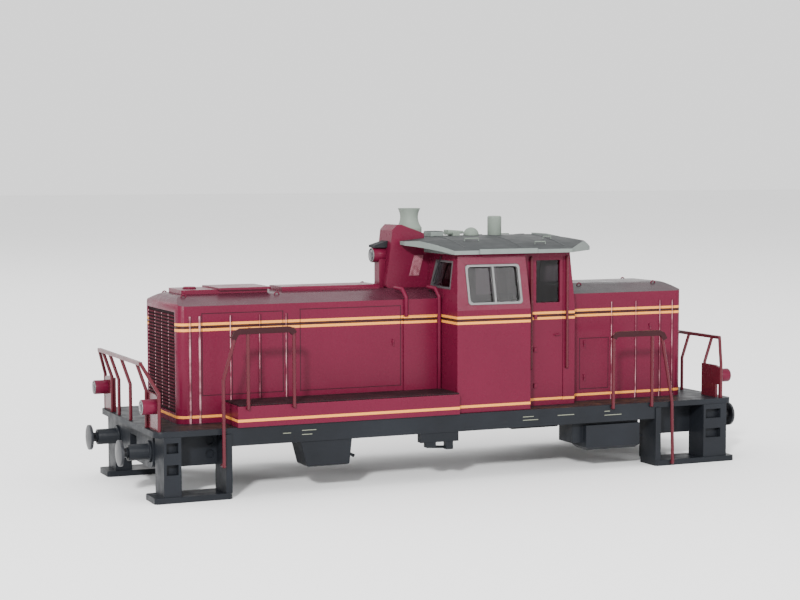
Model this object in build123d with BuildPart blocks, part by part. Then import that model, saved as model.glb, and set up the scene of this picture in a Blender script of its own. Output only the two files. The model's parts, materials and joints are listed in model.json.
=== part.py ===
"""H0 scale (1:87) centre-cab diesel shunter: body shells on a black underframe.

Frame: millimetres, front of the locomotive towards -X, left side towards -Y, +Z up.
Origin: middle of the base, on the plane of the undersides of the four corner steps.
"""

import os

from build123d import *

os.makedirs("parts", exist_ok=True)

# ---------------------------------------------------------------- driving dimensions
length_over_buffers = 120.1
length_over_beams = 109.0
deck_z = 11.8
sill_drop = 3.05
sill_thickness = 1.2
sill_half_width = 17.5
deck_thickness = 1.0
deck_overhang = 1.2
well_margin = 1.3
well_half_length = 45.0
inner_sill_thickness = 0.8
fit_gap = 0.1
cut_over = 1.0
deck_corner_radius = 1.5

beam_thickness = 1.2
beam_bottom = 4.9
beam_corner_radius = 1.6
coupler_slot_half_width = 2.0
coupler_slot_low_z = 6.6
coupler_slot_high_z = 9.2

hood_half_width = 9.9
hood_height = 21.4
hood_shoulder = 1.6
hood_crown_half_width = 4.6
hood_wall = 0.8
crown_radius = 5.0
shoulder_radius = 1.2
long_hood_front = -49.4
short_hood_rear = 49.4
nose_radius = 1.6
brow_radius = 2.6

cab_front = -0.9
cab_rear = 24.6
cab_bay_length = 14.4
cab_bay_half_width = 16.8
door_half_width = 12.9
cab_wall = 0.9
cab_waist_z = 29.8
cab_top_z = 39.5
side_lean = 2.25
end_lean = 1.1

roof_edge = 0.7
roof_crown_z = 42.3
roof_half_width = 15.7
roof_tip_half_width = 5.0
roof_front_overhang = 4.8
roof_rear_overhang = 5.8
roof_rear_half_width = 8.0
roof_corner_setback = 2.2
roof_front_drop = 0.7
roof_flat_setback = 2.5
roof_recess = 1.0
visor_drop = 1.3
fitting_sink = 1.0

window_front = 1.4
window_rear = 12.05
window_sill = 0.9
window_head = 1.8
window_frame = 0.42
window_bar = 0.4
window_corner = 0.6
gasket_width = 0.35
frame_relief = 0.12
glass_depth = 0.6
front_window_inner = 5.9
front_window_outer = 13.0
rear_window_inner = 3.2
rear_window_outer = 11.0
end_window_low_z = 33.3
end_window_high_z = 38.3
end_window_slant = 1.4
door_front = 16.1
door_length = 6.1
door_sill = 0.9
door_head = 0.8
door_recess = 0.15
door_window_low_z = 30.4
door_window_margin = 0.65
door_glass_thickness = 0.3
grab_rail_low_z = 18.6
grab_rail_high_z = 38.6
grab_rail_gap = 0.6
floor_z = 24.0
floor_thickness = 0.8
desk_front = 2.6
desk_length = 5.8
desk_height = 7.6
desk_slope = 2.0
desk_half_width = 6.5
seat_x = 11.2
seat_y = 9.0
seat_size = 3.4
seat_thickness = 0.8
seat_post_radius = 0.7
seat_height = 2.6
seat_back_height = 4.6

strip_front = 3.9
strip_length = 11.4
strip_height = 0.95
strip_thickness = 0.35
vent_x = 14.7
vent_radius = 1.3
vent_height = 3.5
vent_round = 0.3
bell_x = 9.9
bell_radius = 1.45
horn_x = 6.4
horn_length = 3.2
horn_rise = 0.6
horn_spacing = 1.1
horn_foot = 1.4
horn_mouth = 0.5
horn_throat = 0.25
box_front = 1.0
box_length = 2.6
box_half_width = 1.6
box_height = 0.9
box_round = 0.25
hatch_front = 24.0
hatch_length = 3.0
hatch_half_width = 3.0
hatch_height = 0.3

walkway_front = -41.6
walkway_half_width = 17.9
walkway_height = 3.75
tread_thickness = 0.25
tread_margin = 0.35

rib_width = 0.3
rib_relief = 0.16
rib_drop = 3.3
rib_lift = 1.0
long_rib_x = (-47.3, -45.6, -40.1, -34.9, -30.1)
short_rib_x = (34.0, 39.2, 44.4, 47.1)
cabinet_front = -8.2
cabinet_rear = -1.8
cabinet_top_z = 28.6
cabinet_relief = 0.3
pipe_radius = 0.35
pipe_inset = 0.45
pipe_bend = 0.9

grille_half_width = 8.2
grille_lift = 1.7
grille_columns = 4
mullion_width = 0.5
slat_pitch = 0.58
slat_height = 0.3
slat_relief = 0.25

cover_front = -46.8
cover_step = -40.4
cover_rear = -31.4
cover_half_width = 4.2
plate_height = 0.75
lid_height = 1.0
lid_thickness = 0.4
lid_overhang = 0.6
cap_x = -44.2
cap_radius = 1.2
cap_height = 0.35
ridge_front = -28.4
ridge_half_width = 3.4
ridge_height = 0.8
ridge_round = 0.5
ridge_gap = 1.0

screw_x = 46.6
screw_radius = 0.6
screw_head_radius = 1.2
screw_head_height = 0.7
screw_slot_width = 0.3
screw_clearance = 0.15
boss_radius = 1.4
boss_height = 5.2
screw_tip_gap = 1.0
board_thickness = 1.0
board_length = 8.0
board_half_width = 7.0

dome_half_width = 2.8
dome_front_top = -7.1
dome_front_bottom = -8.4
dome_front_z = 44.5
dome_rear_z = 42.9
chimney_x = -2.6
chimney_base_radius = 2.3
chimney_neck_radius = 1.65
chimney_rim_radius = 2.05
chimney_top_z = 47.4
chimney_bore_radius = 1.2
top_lamp_z = 39.05
top_lamp_radius = 1.35
top_lamp_length = 2.3
dome_brow = 0.9
dome_corner = 0.5
flue_length = 4.5
chimney_foot_height = 1.0
chimney_neck_height = 1.5
panel_low_z = 35.3
panel_height = 3.7
panel_length = 1.9
panel_slant = 1.0
panel_relief = 0.15
lamp_stand_off = 0.6
lamp_wall = 0.25
lens_thickness = 0.4
shade_height = 1.3
rear_lamp_z = 37.7
rear_lamp_reach = 3.4

buffer_spacing = 20.1
buffer_z = 7.65
buffer_head_radius = 2.2
buffer_head_thickness = 0.7
buffer_travel = 0.9
buffer_sleeve_radius = 1.35
buffer_shank_radius = 0.8
buffer_tail_radius = 0.4
buffer_clearance = 0.15
buffer_spring_wire = 0.2
buffer_flange_radius = 1.85
buffer_flange_thickness = 0.4
buffer_face_edge = 0.25
buffer_face_middle = 0.06
sleeve_reach_in = 1.0
sleeve_rear_wall = 0.6
spring_room = 3.7
spring_turns = 7
spring_end_gap = 0.3
knob_radius = 0.65
knob_length = 0.6

step_half_width = 17.9
step_depth = 5.9
step_board_thickness = 1.0
step_board_outer_x = 55.9
front_step_length = 13.3
rear_step_length = 17.0
step_board_corner = 0.4
step_post_thickness = 1.1
step_post_inset = 0.15
step_face_inset = 0.3
front_ladder_setback = 1.4
front_ladder_length = 3.0
rear_ladder_setback = 2.2
rear_ladder_length = 4.2
ladder_inner_gap = 0.6
ladder_frame = 0.5
tread_gap = 3.6
rung_opening = 1.7
rung_depth = 1.2
end_post_setback = 1.4
end_post_thickness = 1.0
end_post_depth = 1.3
step_panel_thickness = 0.8
step_panel_low_z = 5.2
panel_hole_x = 2.3
panel_hole_z = (9.3, 7.0)
panel_hole_radius = 0.75
panel_hole_depth = 0.4

box_inner_y = 12.2
tank_front = -29.6
tank_length = 8.6
tank_bottom = 4.3
tank_flare = 0.7
tank_rake = 0.5
tank_side_inset = 0.3
tank_round = 0.4
case_front = 22.4
case_length = 13.6
case_bottom = 5.0
case_inner_y = 11.0
case_side_inset = 1.4
case_cover_inset = 2.1
case_cover_rear_inset = 0.3
case_cover_side_inset = 0.1
case_cover_drop = 0.5
case_cover_bottom = 3.7
case_corner = 0.6
bracket_front = -8.2
bracket_rear = -0.9
bracket_bottom = 7.1
bracket_inset = 0.2
bracket_thickness = 1.4
hanger_inset = 0.3
hanger_thickness = 1.1
brake_hangers = ((-7.1, -5.2, 6.2), (-3.3, -1.9, 5.7))

rail_height = 11.2
rail_knee = 6.2
rail_bar = 0.6
rail_half_span = 13.4
rail_reach = 1.6
front_rail_setback = 0.5
rear_rail_setback = 1.9
corner_plate_inner = 10.9
corner_plate_outer = 17.3
corner_plate_height = 6.0
plate_slot_inner = 15.6
plate_slot_width = 1.0
plate_slot_gap = 0.3
lamp_radius = 1.25
lamp_y = 15.3
lamp_z_above_deck = 4.0
lamp_length = 2.3
front_post_y = (6.3, -1.1)
rear_post_y = (3.0, -3.0)
strut_setback = 0.4
plate_setback = 0.2
plate_thickness = 0.5

wire_radius = 0.3
grab_rail_radius = 0.24
handrail_length = 10.0
handrail_splay = 2.4
handrail_knee = 8.0
middle_leg = 1.9
front_handrail_x = -41.8
front_handrail_z = 27.9
front_foot_y = 17.2
front_foot_z = 5.6
rear_handrail_x = 39.8
rear_handrail_z = 24.6

# ---------------------------------------------------------------- derived dimensions
half_length = length_over_buffers / 2
beam_x = length_over_beams / 2
beam_inner_x = beam_x - beam_thickness
deck_end_x = beam_x + deck_overhang
deck_bottom_z = deck_z - deck_thickness
sill_bottom_z = deck_z - sill_drop
hood_crown_z = deck_z + hood_height
hood_shoulder_z = hood_crown_z - hood_shoulder
hood_inner_half = hood_half_width - hood_wall
well_half = hood_inner_half - well_margin
rib_top_z = hood_crown_z - rib_drop
rib_low_z = deck_z + rib_lift
grille_low_z = deck_z + grille_lift
grille_high_z = hood_crown_z - brow_radius
grille_back_x = long_hood_front + hood_wall
plate_top_z = hood_crown_z + plate_height
lid_top_z = hood_crown_z + lid_height
ridge_top_z = hood_crown_z + ridge_height
ridge_rear = dome_front_bottom - lamp_stand_off - ridge_gap
boss_top_z = deck_z + boss_height
cab_bay_rear = cab_front + cab_bay_length
walkway_z = deck_z + walkway_height
tread_z = walkway_z - tread_thickness
doorway_inner = door_half_width - cab_wall
window_low_z = cab_waist_z + window_sill
window_high_z = cab_top_z - window_head
door_rear = door_front + door_length
door_low_z = deck_z + door_sill
door_high_z = cab_top_z - door_head
roof_front_x = cab_front - roof_front_overhang
roof_rear_x = cab_rear + roof_rear_overhang
roof_edge_z = cab_top_z + roof_edge
roof_flat_front_x = cab_front + roof_flat_setback
roof_flat_rear_x = cab_rear - roof_flat_setback
roof_arc_z = roof_crown_z - roof_edge_z
roof_arc_x = roof_rear_x - roof_flat_rear_x
roof_arc_radius = (roof_arc_x**2 + roof_arc_z**2) / (2 * roof_arc_z)
board_top_z = step_board_thickness
step_inner_y = step_half_width - step_depth
beam_half_width = step_inner_y - fit_gap
knee_z = deck_z + rail_knee
rail_z = deck_z + rail_height
lamp_z = deck_z + lamp_z_above_deck
sleeve_front = half_length - buffer_head_thickness - buffer_travel - buffer_clearance
sleeve_rear = beam_inner_x - sleeve_reach_in
shoulder_x = sleeve_rear + sleeve_rear_wall + spring_room
buffer_bore_radius = buffer_shank_radius + buffer_clearance
SIDES = (("left", -1), ("right", 1))
ENDS = (("front", -1), ("rear", 1))


def block(x0, x1, y0, y1, z0, z1, mode=Mode.ADD):
    """A box between two corners, joined to the part being built."""
    with Locations(((x0 + x1) / 2, (y0 + y1) / 2, (z0 + z1) / 2)):
        Box(abs(x1 - x0), abs(y1 - y0), abs(z1 - z0), mode=mode)


def side_block(x0, x1, y0, y1, z0, z1, side, mode=Mode.ADD):
    """A box whose y range is measured outwards on one side of the centre line."""
    block(x0, x1, side * y0, side * y1, z0, z1, mode)


def rod(start, end, radius, mode=Mode.ADD):
    """A round bar between two points."""
    axis = Vector(*end) - Vector(*start)
    with Locations(Plane(origin=start, z_dir=axis)):
        Cylinder(radius, axis.length, align=(Align.CENTER, Align.CENTER, Align.MIN), mode=mode)


def axial(centre, x0, x1, radius, mode=Mode.ADD):
    """A round section on a buffer's axis; centre holds the end's sign and the axis's y."""
    end, y = centre
    rod((end * x0, y, buffer_z), (end * x1, y, buffer_z), radius, mode)


def bar(start, end, size):
    """A round-ended bar made of a rod with a ball at each end, for bent wire."""
    rod(start, end, size)
    with Locations(start, end):
        Sphere(size)


def tapered(x0, x1, half, z0, z1, lean_x, lean_y, mode=Mode.ADD):
    """A block whose walls lean in by lean_x and lean_y between z0 and z1."""
    with BuildSketch(Plane.XY.offset(z0)) as low:
        with Locations(((x0 + x1) / 2, 0)):
            Rectangle(x1 - x0, 2 * half)
    with BuildSketch(Plane.XY.offset(z1)) as high:
        with Locations(((x0 + lean_x[0] + x1 - lean_x[1]) / 2, 0)):
            Rectangle(x1 - x0 - lean_x[0] - lean_x[1], 2 * (half - lean_y))
    loft(sections=[low.sketch, high.sketch], mode=mode)


def hood_solid(round_x, flat_x, inset, floor):
    """A hood's rounded block from its nose at round_x to its flat end at flat_x.

    The walls and the crown are drawn in by inset, and the block stands on floor.
    """
    low_x, high_x = sorted((round_x, flat_x))
    nose = 0 if round_x < flat_x else -1
    half = hood_half_width - inset
    crown = hood_crown_z - inset
    shoulder = hood_shoulder_z - inset
    crown_half = hood_crown_half_width - inset / 2
    with BuildPart() as solid:
        with BuildSketch(Plane.YZ.offset(low_x)) as section:
            with BuildLine():
                Polyline(
                    (-half, floor),
                    (-half, shoulder),
                    (-crown_half, crown),
                    (crown_half, crown),
                    (half, shoulder),
                    (half, floor),
                    close=True,
                )
            make_face()
            levels = section.vertices().group_by(Axis.Y)
            fillet(levels[-1], radius=crown_radius)
            fillet(levels[-2], radius=shoulder_radius)
        extrude(amount=high_x - low_x)
        with BuildSketch(Plane.XZ) as side_view:
            with BuildLine():
                Polyline(
                    (low_x, floor), (low_x, crown), (high_x, crown), (high_x, floor), close=True
                )
            make_face()
            brow = side_view.vertices().group_by(Axis.Y)[-1].sort_by(Axis.X)[nose]
            fillet(brow, radius=brow_radius - inset)
        extrude(amount=half, both=True, mode=Mode.INTERSECT)
        with BuildSketch(Plane.XY.offset(floor)) as plan:
            with Locations(((low_x + high_x) / 2, 0)):
                Rectangle(high_x - low_x, 2 * half)
            fillet(plan.vertices().group_by(Axis.X)[nose], radius=nose_radius - inset)
        extrude(amount=crown - floor, mode=Mode.INTERSECT)
    return solid.part


def cab_taper(end, inset, mode=Mode.ADD):
    """The cab's leaning upper walls drawn in by inset: the bay in front, the doorway behind."""
    if end < 0:
        tapered(
            cab_front + inset,
            cab_bay_rear - inset,
            cab_bay_half_width - inset,
            cab_waist_z,
            cab_top_z,
            (end_lean, 0),
            side_lean,
            mode,
        )
    else:
        tapered(
            cab_front + inset,
            cab_rear - inset,
            door_half_width - inset,
            cab_waist_z,
            cab_top_z,
            (end_lean, end_lean),
            0,
            mode,
        )


def cab_block(inset, floor, mode=Mode.ADD):
    """The cab's outer form drawn in by inset, from floor up to the roof."""
    bay, doorway = cab_bay_half_width - inset, door_half_width - inset
    block(cab_front + inset, cab_bay_rear - inset, -bay, bay, floor, cab_waist_z, mode)
    block(cab_front + inset, cab_rear - inset, -doorway, doorway, floor, cab_waist_z, mode)
    for end in (-1, 1):
        cab_taper(end, inset, mode)


def side_window(margin, side, mode=Mode.ADD):
    """A round-cornered block through the bay's side window, drawn in by margin."""
    with BuildSketch(Plane.XZ.offset(-side * doorway_inner)) as pane:
        with Locations(
            ((window_front + window_rear) / 2, (window_low_z + window_high_z) / 2)
        ):
            RectangleRounded(
                window_rear - window_front - 2 * margin,
                window_high_z - window_low_z - 2 * margin,
                window_corner,
            )
    reach = cab_bay_half_width + cut_over - doorway_inner
    extrude(pane.sketch, amount=reach, dir=(0, side, 0), mode=mode)


def end_window(end, margin, side, mode=Mode.ADD):
    """A block through a front or rear window, whose inner edge leans in towards its foot."""
    wall_x = cab_front - cut_over if end < 0 else cab_rear + cut_over
    inner = front_window_inner if end < 0 else rear_window_inner
    outer = front_window_outer if end < 0 else rear_window_outer
    low, high = end_window_low_z + margin, end_window_high_z - margin
    with BuildSketch(Plane.YZ.offset(wall_x)) as pane:
        with BuildLine():
            Polyline(
                (side * (inner + margin), high),
                (side * (outer - margin), high),
                (side * (outer - margin), low),
                (side * (inner + margin - end_window_slant), low),
                close=True,
            )
        make_face()
    depth = cut_over + end_lean + cab_wall
    extrude(pane.sketch, amount=depth, dir=(-end, 0, 0), mode=mode)


def roof_surface_z(x):
    """Height of the roof's crown line where it curves down behind the cab."""
    run = x - roof_flat_rear_x
    return roof_crown_z - roof_arc_radius + (roof_arc_radius**2 - run**2) ** 0.5


def screw_boss(end):
    """The pillar inside a hood's nose that the body screw bites into."""
    x = end * screw_x
    nose_x = short_hood_rear if end > 0 else long_hood_front
    rod((x, 0, deck_z), (x, 0, boss_top_z), boss_radius)
    block(x, nose_x - end * hood_wall / 2, -hood_wall / 2, hood_wall / 2, deck_z, grille_low_z)
    rod((x, 0, deck_z - cut_over), (x, 0, boss_top_z - screw_tip_gap), screw_radius, Mode.SUBTRACT)


def railing_x(end):
    """Where the railing's posts stand at one end."""
    return end * (deck_end_x - (front_rail_setback if end < 0 else rear_rail_setback))


def lamp_points(end, side):
    """The back, the lens seat and the rim of one buffer-beam lamp."""
    plate_x = railing_x(end) - end * plate_setback
    rim_x = plate_x + end * lamp_length
    stations = (plate_x, rim_x - end * lens_thickness, rim_x)
    return tuple((x, side * lamp_y, lamp_z) for x in stations)


def save(builder, name):
    """Label the finished piece and write it to its own STEP file."""
    builder.part.label = name
    export_step(builder.part, f"parts/{name}.step")


# ---------------------------------------------------------------- underframe
with BuildPart() as frame:
    block(-deck_end_x, deck_end_x, -sill_half_width, sill_half_width, deck_bottom_z, deck_z)
    for _, side in SIDES:
        side_block(
            -step_board_outer_x + front_step_length,
            step_board_outer_x - rear_step_length,
            sill_half_width - sill_thickness,
            sill_half_width,
            sill_bottom_z,
            deck_bottom_z,
            side,
        )
        side_block(
            -beam_inner_x,
            beam_inner_x,
            well_half,
            well_half + inner_sill_thickness,
            sill_bottom_z,
            deck_bottom_z,
            side,
        )
    block(
        -well_half_length,
        well_half_length,
        -well_half,
        well_half,
        deck_bottom_z,
        deck_z,
        Mode.SUBTRACT,
    )
    for end in (-1, 1):
        rod(
            (end * screw_x, 0, deck_bottom_z - cut_over),
            (end * screw_x, 0, deck_z + cut_over),
            screw_radius + screw_clearance,
            Mode.SUBTRACT,
        )
    corners = frame.edges().filter_by(Axis.Z).group_by(Axis.X)
    fillet(corners[0] + corners[-1], radius=deck_corner_radius)
save(frame, "frame")

for end_name, end in ENDS:
    with BuildPart() as beam:
        block(
            end * beam_inner_x,
            end * beam_x,
            -beam_half_width,
            beam_half_width,
            beam_bottom,
            deck_bottom_z,
        )
        low_corners = beam.edges().filter_by(Axis.X).group_by(Axis.Z)[0]
        fillet(low_corners, radius=beam_corner_radius)
        for side in (-1, 1):
            y = side * buffer_spacing / 2
            rod(
                (end * (beam_inner_x - cut_over), y, buffer_z),
                (end * (beam_x + cut_over), y, buffer_z),
                buffer_sleeve_radius,
                Mode.SUBTRACT,
            )
        block(
            end * beam_inner_x,
            end * beam_x,
            -coupler_slot_half_width,
            coupler_slot_half_width,
            coupler_slot_low_z,
            coupler_slot_high_z,
            Mode.SUBTRACT,
        )
    save(beam, f"{end_name}_buffer_beam")

# ---------------------------------------------------------------- buffers
with BuildPart() as buffer_sleeves:
    for end in (-1, 1):
        for side in (-1, 1):
            centre = (end, side * buffer_spacing / 2)
            axial(centre, sleeve_rear, sleeve_front, buffer_sleeve_radius)
            axial(centre, beam_x, beam_x + buffer_flange_thickness, buffer_flange_radius)
            axial(
                centre,
                sleeve_rear + sleeve_rear_wall,
                sleeve_front + cut_over,
                buffer_bore_radius,
                Mode.SUBTRACT,
            )
            axial(
                centre,
                sleeve_rear - cut_over,
                sleeve_front,
                buffer_tail_radius + buffer_clearance,
                Mode.SUBTRACT,
            )
save(buffer_sleeves, "buffer_sleeves")

with BuildPart() as buffer_springs:
    coil_radius = buffer_tail_radius + buffer_clearance / 2 + buffer_spring_wire / 2
    coil_start = sleeve_rear + sleeve_rear_wall + buffer_spring_wire / 2
    coil_pitch = (shoulder_x - buffer_travel - coil_start - spring_end_gap) / spring_turns
    for end in (-1, 1):
        for side in (-1, 1):
            y = side * buffer_spacing / 2
            for turn in range(spring_turns):
                x = end * (coil_start + turn * coil_pitch)
                with Locations(Plane(origin=(x, y, buffer_z), z_dir=(1, 0, 0))):
                    Torus(coil_radius, buffer_spring_wire / 2)
save(buffer_springs, "buffer_springs")

for end_name, end in ENDS:
    for side_name, side in SIDES:
        y = side * buffer_spacing / 2
        with BuildPart() as plunger:
            head_back = half_length - buffer_head_thickness
            with BuildSketch(Plane.XY.offset(buffer_z)):
                with BuildLine():
                    Polyline(
                        (end * (half_length - buffer_face_edge), y + buffer_head_radius),
                        (end * head_back, y + buffer_head_radius),
                        (end * head_back, y + buffer_shank_radius),
                        (end * shoulder_x, y + buffer_shank_radius),
                        (end * shoulder_x, y + buffer_tail_radius),
                        (end * sleeve_rear, y + buffer_tail_radius),
                        (end * sleeve_rear, y + knob_radius),
                        (end * (sleeve_rear - knob_length), y + knob_radius),
                        (end * (sleeve_rear - knob_length), y),
                        (end * half_length, y),
                    )
                    ThreePointArc(
                        (end * half_length, y),
                        (end * (half_length - buffer_face_middle), y + buffer_head_radius / 2),
                        (end * (half_length - buffer_face_edge), y + buffer_head_radius),
                    )
                make_face()
            revolve(axis=Axis((0, y, buffer_z), (1, 0, 0)))
        save(plunger, f"{end_name}_{side_name}_buffer_plunger")

# ---------------------------------------------------------------- corner steps
for end_name, end in ENDS:
    step_length = front_step_length if end < 0 else rear_step_length
    ladder_setback = front_ladder_setback if end < 0 else rear_ladder_setback
    ladder_length = front_ladder_length if end < 0 else rear_ladder_length
    outer_x = end * step_board_outer_x
    inner_x = outer_x - end * step_length
    post_x = inner_x + end * step_post_thickness
    ladder_out = end * (deck_end_x - ladder_setback)
    ladder_in = ladder_out - end * ladder_length
    step_face_y = step_half_width - step_face_inset
    panel_y = step_inner_y + step_panel_thickness
    for side_name, side in SIDES:
        with BuildPart() as step:
            side_block(
                inner_x, outer_x, step_inner_y, step_half_width, 0, step_board_thickness, side
            )
            chamfer(step.edges().filter_by(Axis.Z), length=step_board_corner)
            side_block(
                inner_x,
                post_x,
                step_inner_y,
                step_half_width - step_post_inset,
                board_top_z,
                deck_bottom_z,
                side,
            )
            side_block(
                ladder_in,
                ladder_out,
                step_inner_y + ladder_inner_gap,
                step_face_y,
                board_top_z,
                deck_bottom_z,
                side,
            )
            for tread in (1, 2):
                rung_z = board_top_z + tread * tread_gap
                side_block(
                    ladder_in + end * ladder_frame,
                    ladder_out - end * ladder_frame,
                    step_face_y - rung_depth,
                    step_face_y,
                    rung_z,
                    rung_z + rung_opening,
                    side,
                    Mode.SUBTRACT,
                )
            if end > 0:
                side_block(
                    deck_end_x - end_post_setback - end_post_thickness,
                    deck_end_x - end_post_setback,
                    step_face_y - end_post_depth,
                    step_face_y,
                    board_top_z,
                    deck_bottom_z,
                    side,
                )
            side_block(
                ladder_in, post_x, step_inner_y, panel_y, step_panel_low_z, deck_bottom_z, side
            )
            for z in panel_hole_z:
                rod(
                    (inner_x + end * panel_hole_x, side * (panel_y - panel_hole_depth), z),
                    (inner_x + end * panel_hole_x, side * (panel_y + cut_over), z),
                    panel_hole_radius,
                    Mode.SUBTRACT,
                )
        save(step, f"{end_name}_{side_name}_step")

# ---------------------------------------------------------------- boxes under the sills
with BuildPart() as air_tank_boxes:
    tank_rear = tank_front + tank_length
    for _, side in SIDES:
        with BuildSketch(Plane.XZ.offset(-side * box_inner_y)) as tank_side:
            with BuildLine():
                Polyline(
                    (tank_front - tank_flare, sill_bottom_z),
                    (tank_front + tank_rake, tank_bottom),
                    (tank_rear - tank_rake, tank_bottom),
                    (tank_rear, sill_bottom_z),
                    close=True,
                )
            make_face()
        extrude(
            tank_side.sketch, amount=-side * (sill_half_width - tank_side_inset - box_inner_y)
        )
    fillet(air_tank_boxes.edges().group_by(Axis.Z)[0], radius=tank_round)
save(air_tank_boxes, "air_tank_boxes")

for side_name, side in SIDES:
    with BuildPart() as battery_box:
        side_block(
            case_front,
            case_front + case_length,
            case_inner_y,
            sill_half_width - case_side_inset,
            case_bottom,
            sill_bottom_z,
            side,
        )
        side_block(
            case_front + case_cover_inset,
            case_front + case_length - case_cover_rear_inset,
            box_inner_y,
            sill_half_width - case_cover_side_inset,
            case_cover_bottom,
            sill_bottom_z - case_cover_drop,
            side,
        )
        chamfer(battery_box.edges().group_by(Axis.Z)[0], length=case_corner)
    save(battery_box, f"battery_box_{side_name}")

with BuildPart() as brake_brackets:
    bracket_y = sill_half_width - bracket_inset
    hanger_y = sill_half_width - hanger_inset
    for _, side in SIDES:
        side_block(
            bracket_front,
            bracket_rear,
            bracket_y - bracket_thickness,
            bracket_y,
            bracket_bottom,
            sill_bottom_z,
            side,
        )
        for front, rear, bottom in brake_hangers:
            side_block(
                front, rear, hanger_y - hanger_thickness, hanger_y, bottom, bracket_bottom, side
            )
save(brake_brackets, "brake_brackets")

# ---------------------------------------------------------------- long hood
with BuildPart() as long_hood:
    add(hood_solid(long_hood_front, cab_front + end_lean, 0, deck_z))
    for x in long_rib_x:
        for _, side in SIDES:
            side_block(
                x - rib_width / 2,
                x + rib_width / 2,
                hood_half_width - rib_relief,
                hood_half_width + rib_relief,
                walkway_z if x > walkway_front else rib_low_z,
                rib_top_z,
                side,
            )
    for _, side in SIDES:
        side_block(
            cabinet_front,
            cabinet_rear,
            hood_half_width - cabinet_relief,
            hood_half_width + cabinet_relief,
            walkway_z,
            cabinet_top_z,
            side,
        )
    add(
        hood_solid(
            long_hood_front + hood_wall,
            cab_front + end_lean + cut_over,
            hood_wall,
            deck_z - cut_over,
        ),
        mode=Mode.SUBTRACT,
    )
    cab_block(0, deck_z, Mode.SUBTRACT)
    block(
        long_hood_front - cut_over,
        grille_back_x + fit_gap,
        -grille_half_width,
        grille_half_width,
        grille_low_z,
        grille_high_z,
        Mode.SUBTRACT,
    )
    screw_boss(-1)
save(long_hood, "long_hood")

with BuildPart() as radiator_grille:
    slat_base_x = long_hood_front + slat_relief
    block(
        slat_base_x,
        grille_back_x,
        -grille_half_width,
        grille_half_width,
        grille_low_z,
        grille_high_z,
    )
    grille_plane = Plane(
        origin=(slat_base_x, 0, (grille_low_z + grille_high_z) / 2),
        x_dir=(0, -1, 0),
        z_dir=(-1, 0, 0),
    )
    column_pitch = (2 * grille_half_width - mullion_width) / grille_columns
    slat_rows = int((grille_high_z - grille_low_z - mullion_width) / slat_pitch)
    with Locations(grille_plane):
        with GridLocations(column_pitch, slat_pitch, grille_columns, slat_rows):
            Box(
                column_pitch - mullion_width,
                slat_height,
                slat_relief,
                align=(Align.CENTER, Align.CENTER, Align.MIN),
            )
save(radiator_grille, "radiator_grille")

with BuildPart() as hood_top_cover:
    block(cover_front, cover_step, -cover_half_width, cover_half_width, hood_crown_z, plate_top_z)
    block(
        cover_step,
        cover_rear,
        -cover_half_width,
        cover_half_width,
        hood_crown_z,
        lid_top_z - lid_thickness,
    )
    block(
        cover_step,
        cover_rear + lid_overhang,
        -cover_half_width - lid_overhang,
        cover_half_width + lid_overhang,
        lid_top_z - lid_thickness,
        lid_top_z,
    )
    lid_corners = hood_top_cover.edges().filter_by(Axis.Z).group_by(Axis.X)
    fillet(lid_corners[0] + lid_corners[-1], radius=lid_overhang)
save(hood_top_cover, "hood_top_cover")

with BuildPart() as filler_cap:
    rod((cap_x, 0, plate_top_z), (cap_x, 0, plate_top_z + cap_height), cap_radius)
    chamfer(filler_cap.edges().group_by(Axis.Z)[-1], length=cap_height / 2)
save(filler_cap, "filler_cap")

with BuildPart() as hood_ridge:
    block(
        ridge_front, ridge_rear, -ridge_half_width, ridge_half_width, hood_crown_z, ridge_top_z
    )
    fillet(hood_ridge.edges().filter_by(Axis.X).group_by(Axis.Z)[-1], radius=ridge_round)
save(hood_ridge, "hood_ridge")

with BuildPart() as hood_pipes:
    for _, side in SIDES:
        y = side * (hood_half_width + pipe_radius)
        for x, foot_z in (
            (cabinet_front + pipe_inset, cabinet_top_z),
            (cabinet_rear + pipe_inset, walkway_z),
        ):
            shoulder = (x, y, hood_shoulder_z + pipe_radius)
            bend = (x - pipe_radius, y - side * pipe_bend, hood_crown_z + pipe_radius / 2)
            crown = (x - pipe_bend, y - side * 3 * pipe_bend, hood_crown_z + pipe_radius)
            rod((x, y, foot_z), shoulder, pipe_radius)
            bar(shoulder, bend, pipe_radius)
            bar(bend, crown, pipe_radius)
    add(hood_solid(long_hood_front, cab_front, 0, deck_z), mode=Mode.SUBTRACT)
save(hood_pipes, "hood_pipes")

# ---------------------------------------------------------------- walkway boxes
for side_name, side in SIDES:
    with BuildPart() as walkway_box:
        side_block(
            walkway_front, cab_front, hood_half_width, walkway_half_width, deck_z, tread_z, side
        )
        side_block(
            walkway_front + hood_wall,
            cab_front - hood_wall,
            hood_half_width + hood_wall,
            walkway_half_width - hood_wall,
            deck_z,
            tread_z - hood_wall,
            side,
            Mode.SUBTRACT,
        )
    save(walkway_box, f"walkway_box_{side_name}")

with BuildPart() as walkway_treads:
    for _, side in SIDES:
        side_block(
            walkway_front + tread_margin,
            cab_front,
            hood_half_width,
            walkway_half_width - tread_margin,
            tread_z,
            walkway_z,
            side,
        )
save(walkway_treads, "walkway_treads")

# ---------------------------------------------------------------- short hood
with BuildPart() as short_hood:
    add(hood_solid(short_hood_rear, cab_rear - end_lean, 0, deck_z))
    for x in short_rib_x:
        for _, side in SIDES:
            side_block(
                x - rib_width / 2,
                x + rib_width / 2,
                hood_half_width - rib_relief,
                hood_half_width + rib_relief,
                rib_low_z,
                rib_top_z,
                side,
            )
    add(
        hood_solid(
            short_hood_rear - hood_wall,
            cab_rear - end_lean - cut_over,
            hood_wall,
            deck_z - cut_over,
        ),
        mode=Mode.SUBTRACT,
    )
    cab_block(0, deck_z, Mode.SUBTRACT)
    screw_boss(1)
save(short_hood, "short_hood")

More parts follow.
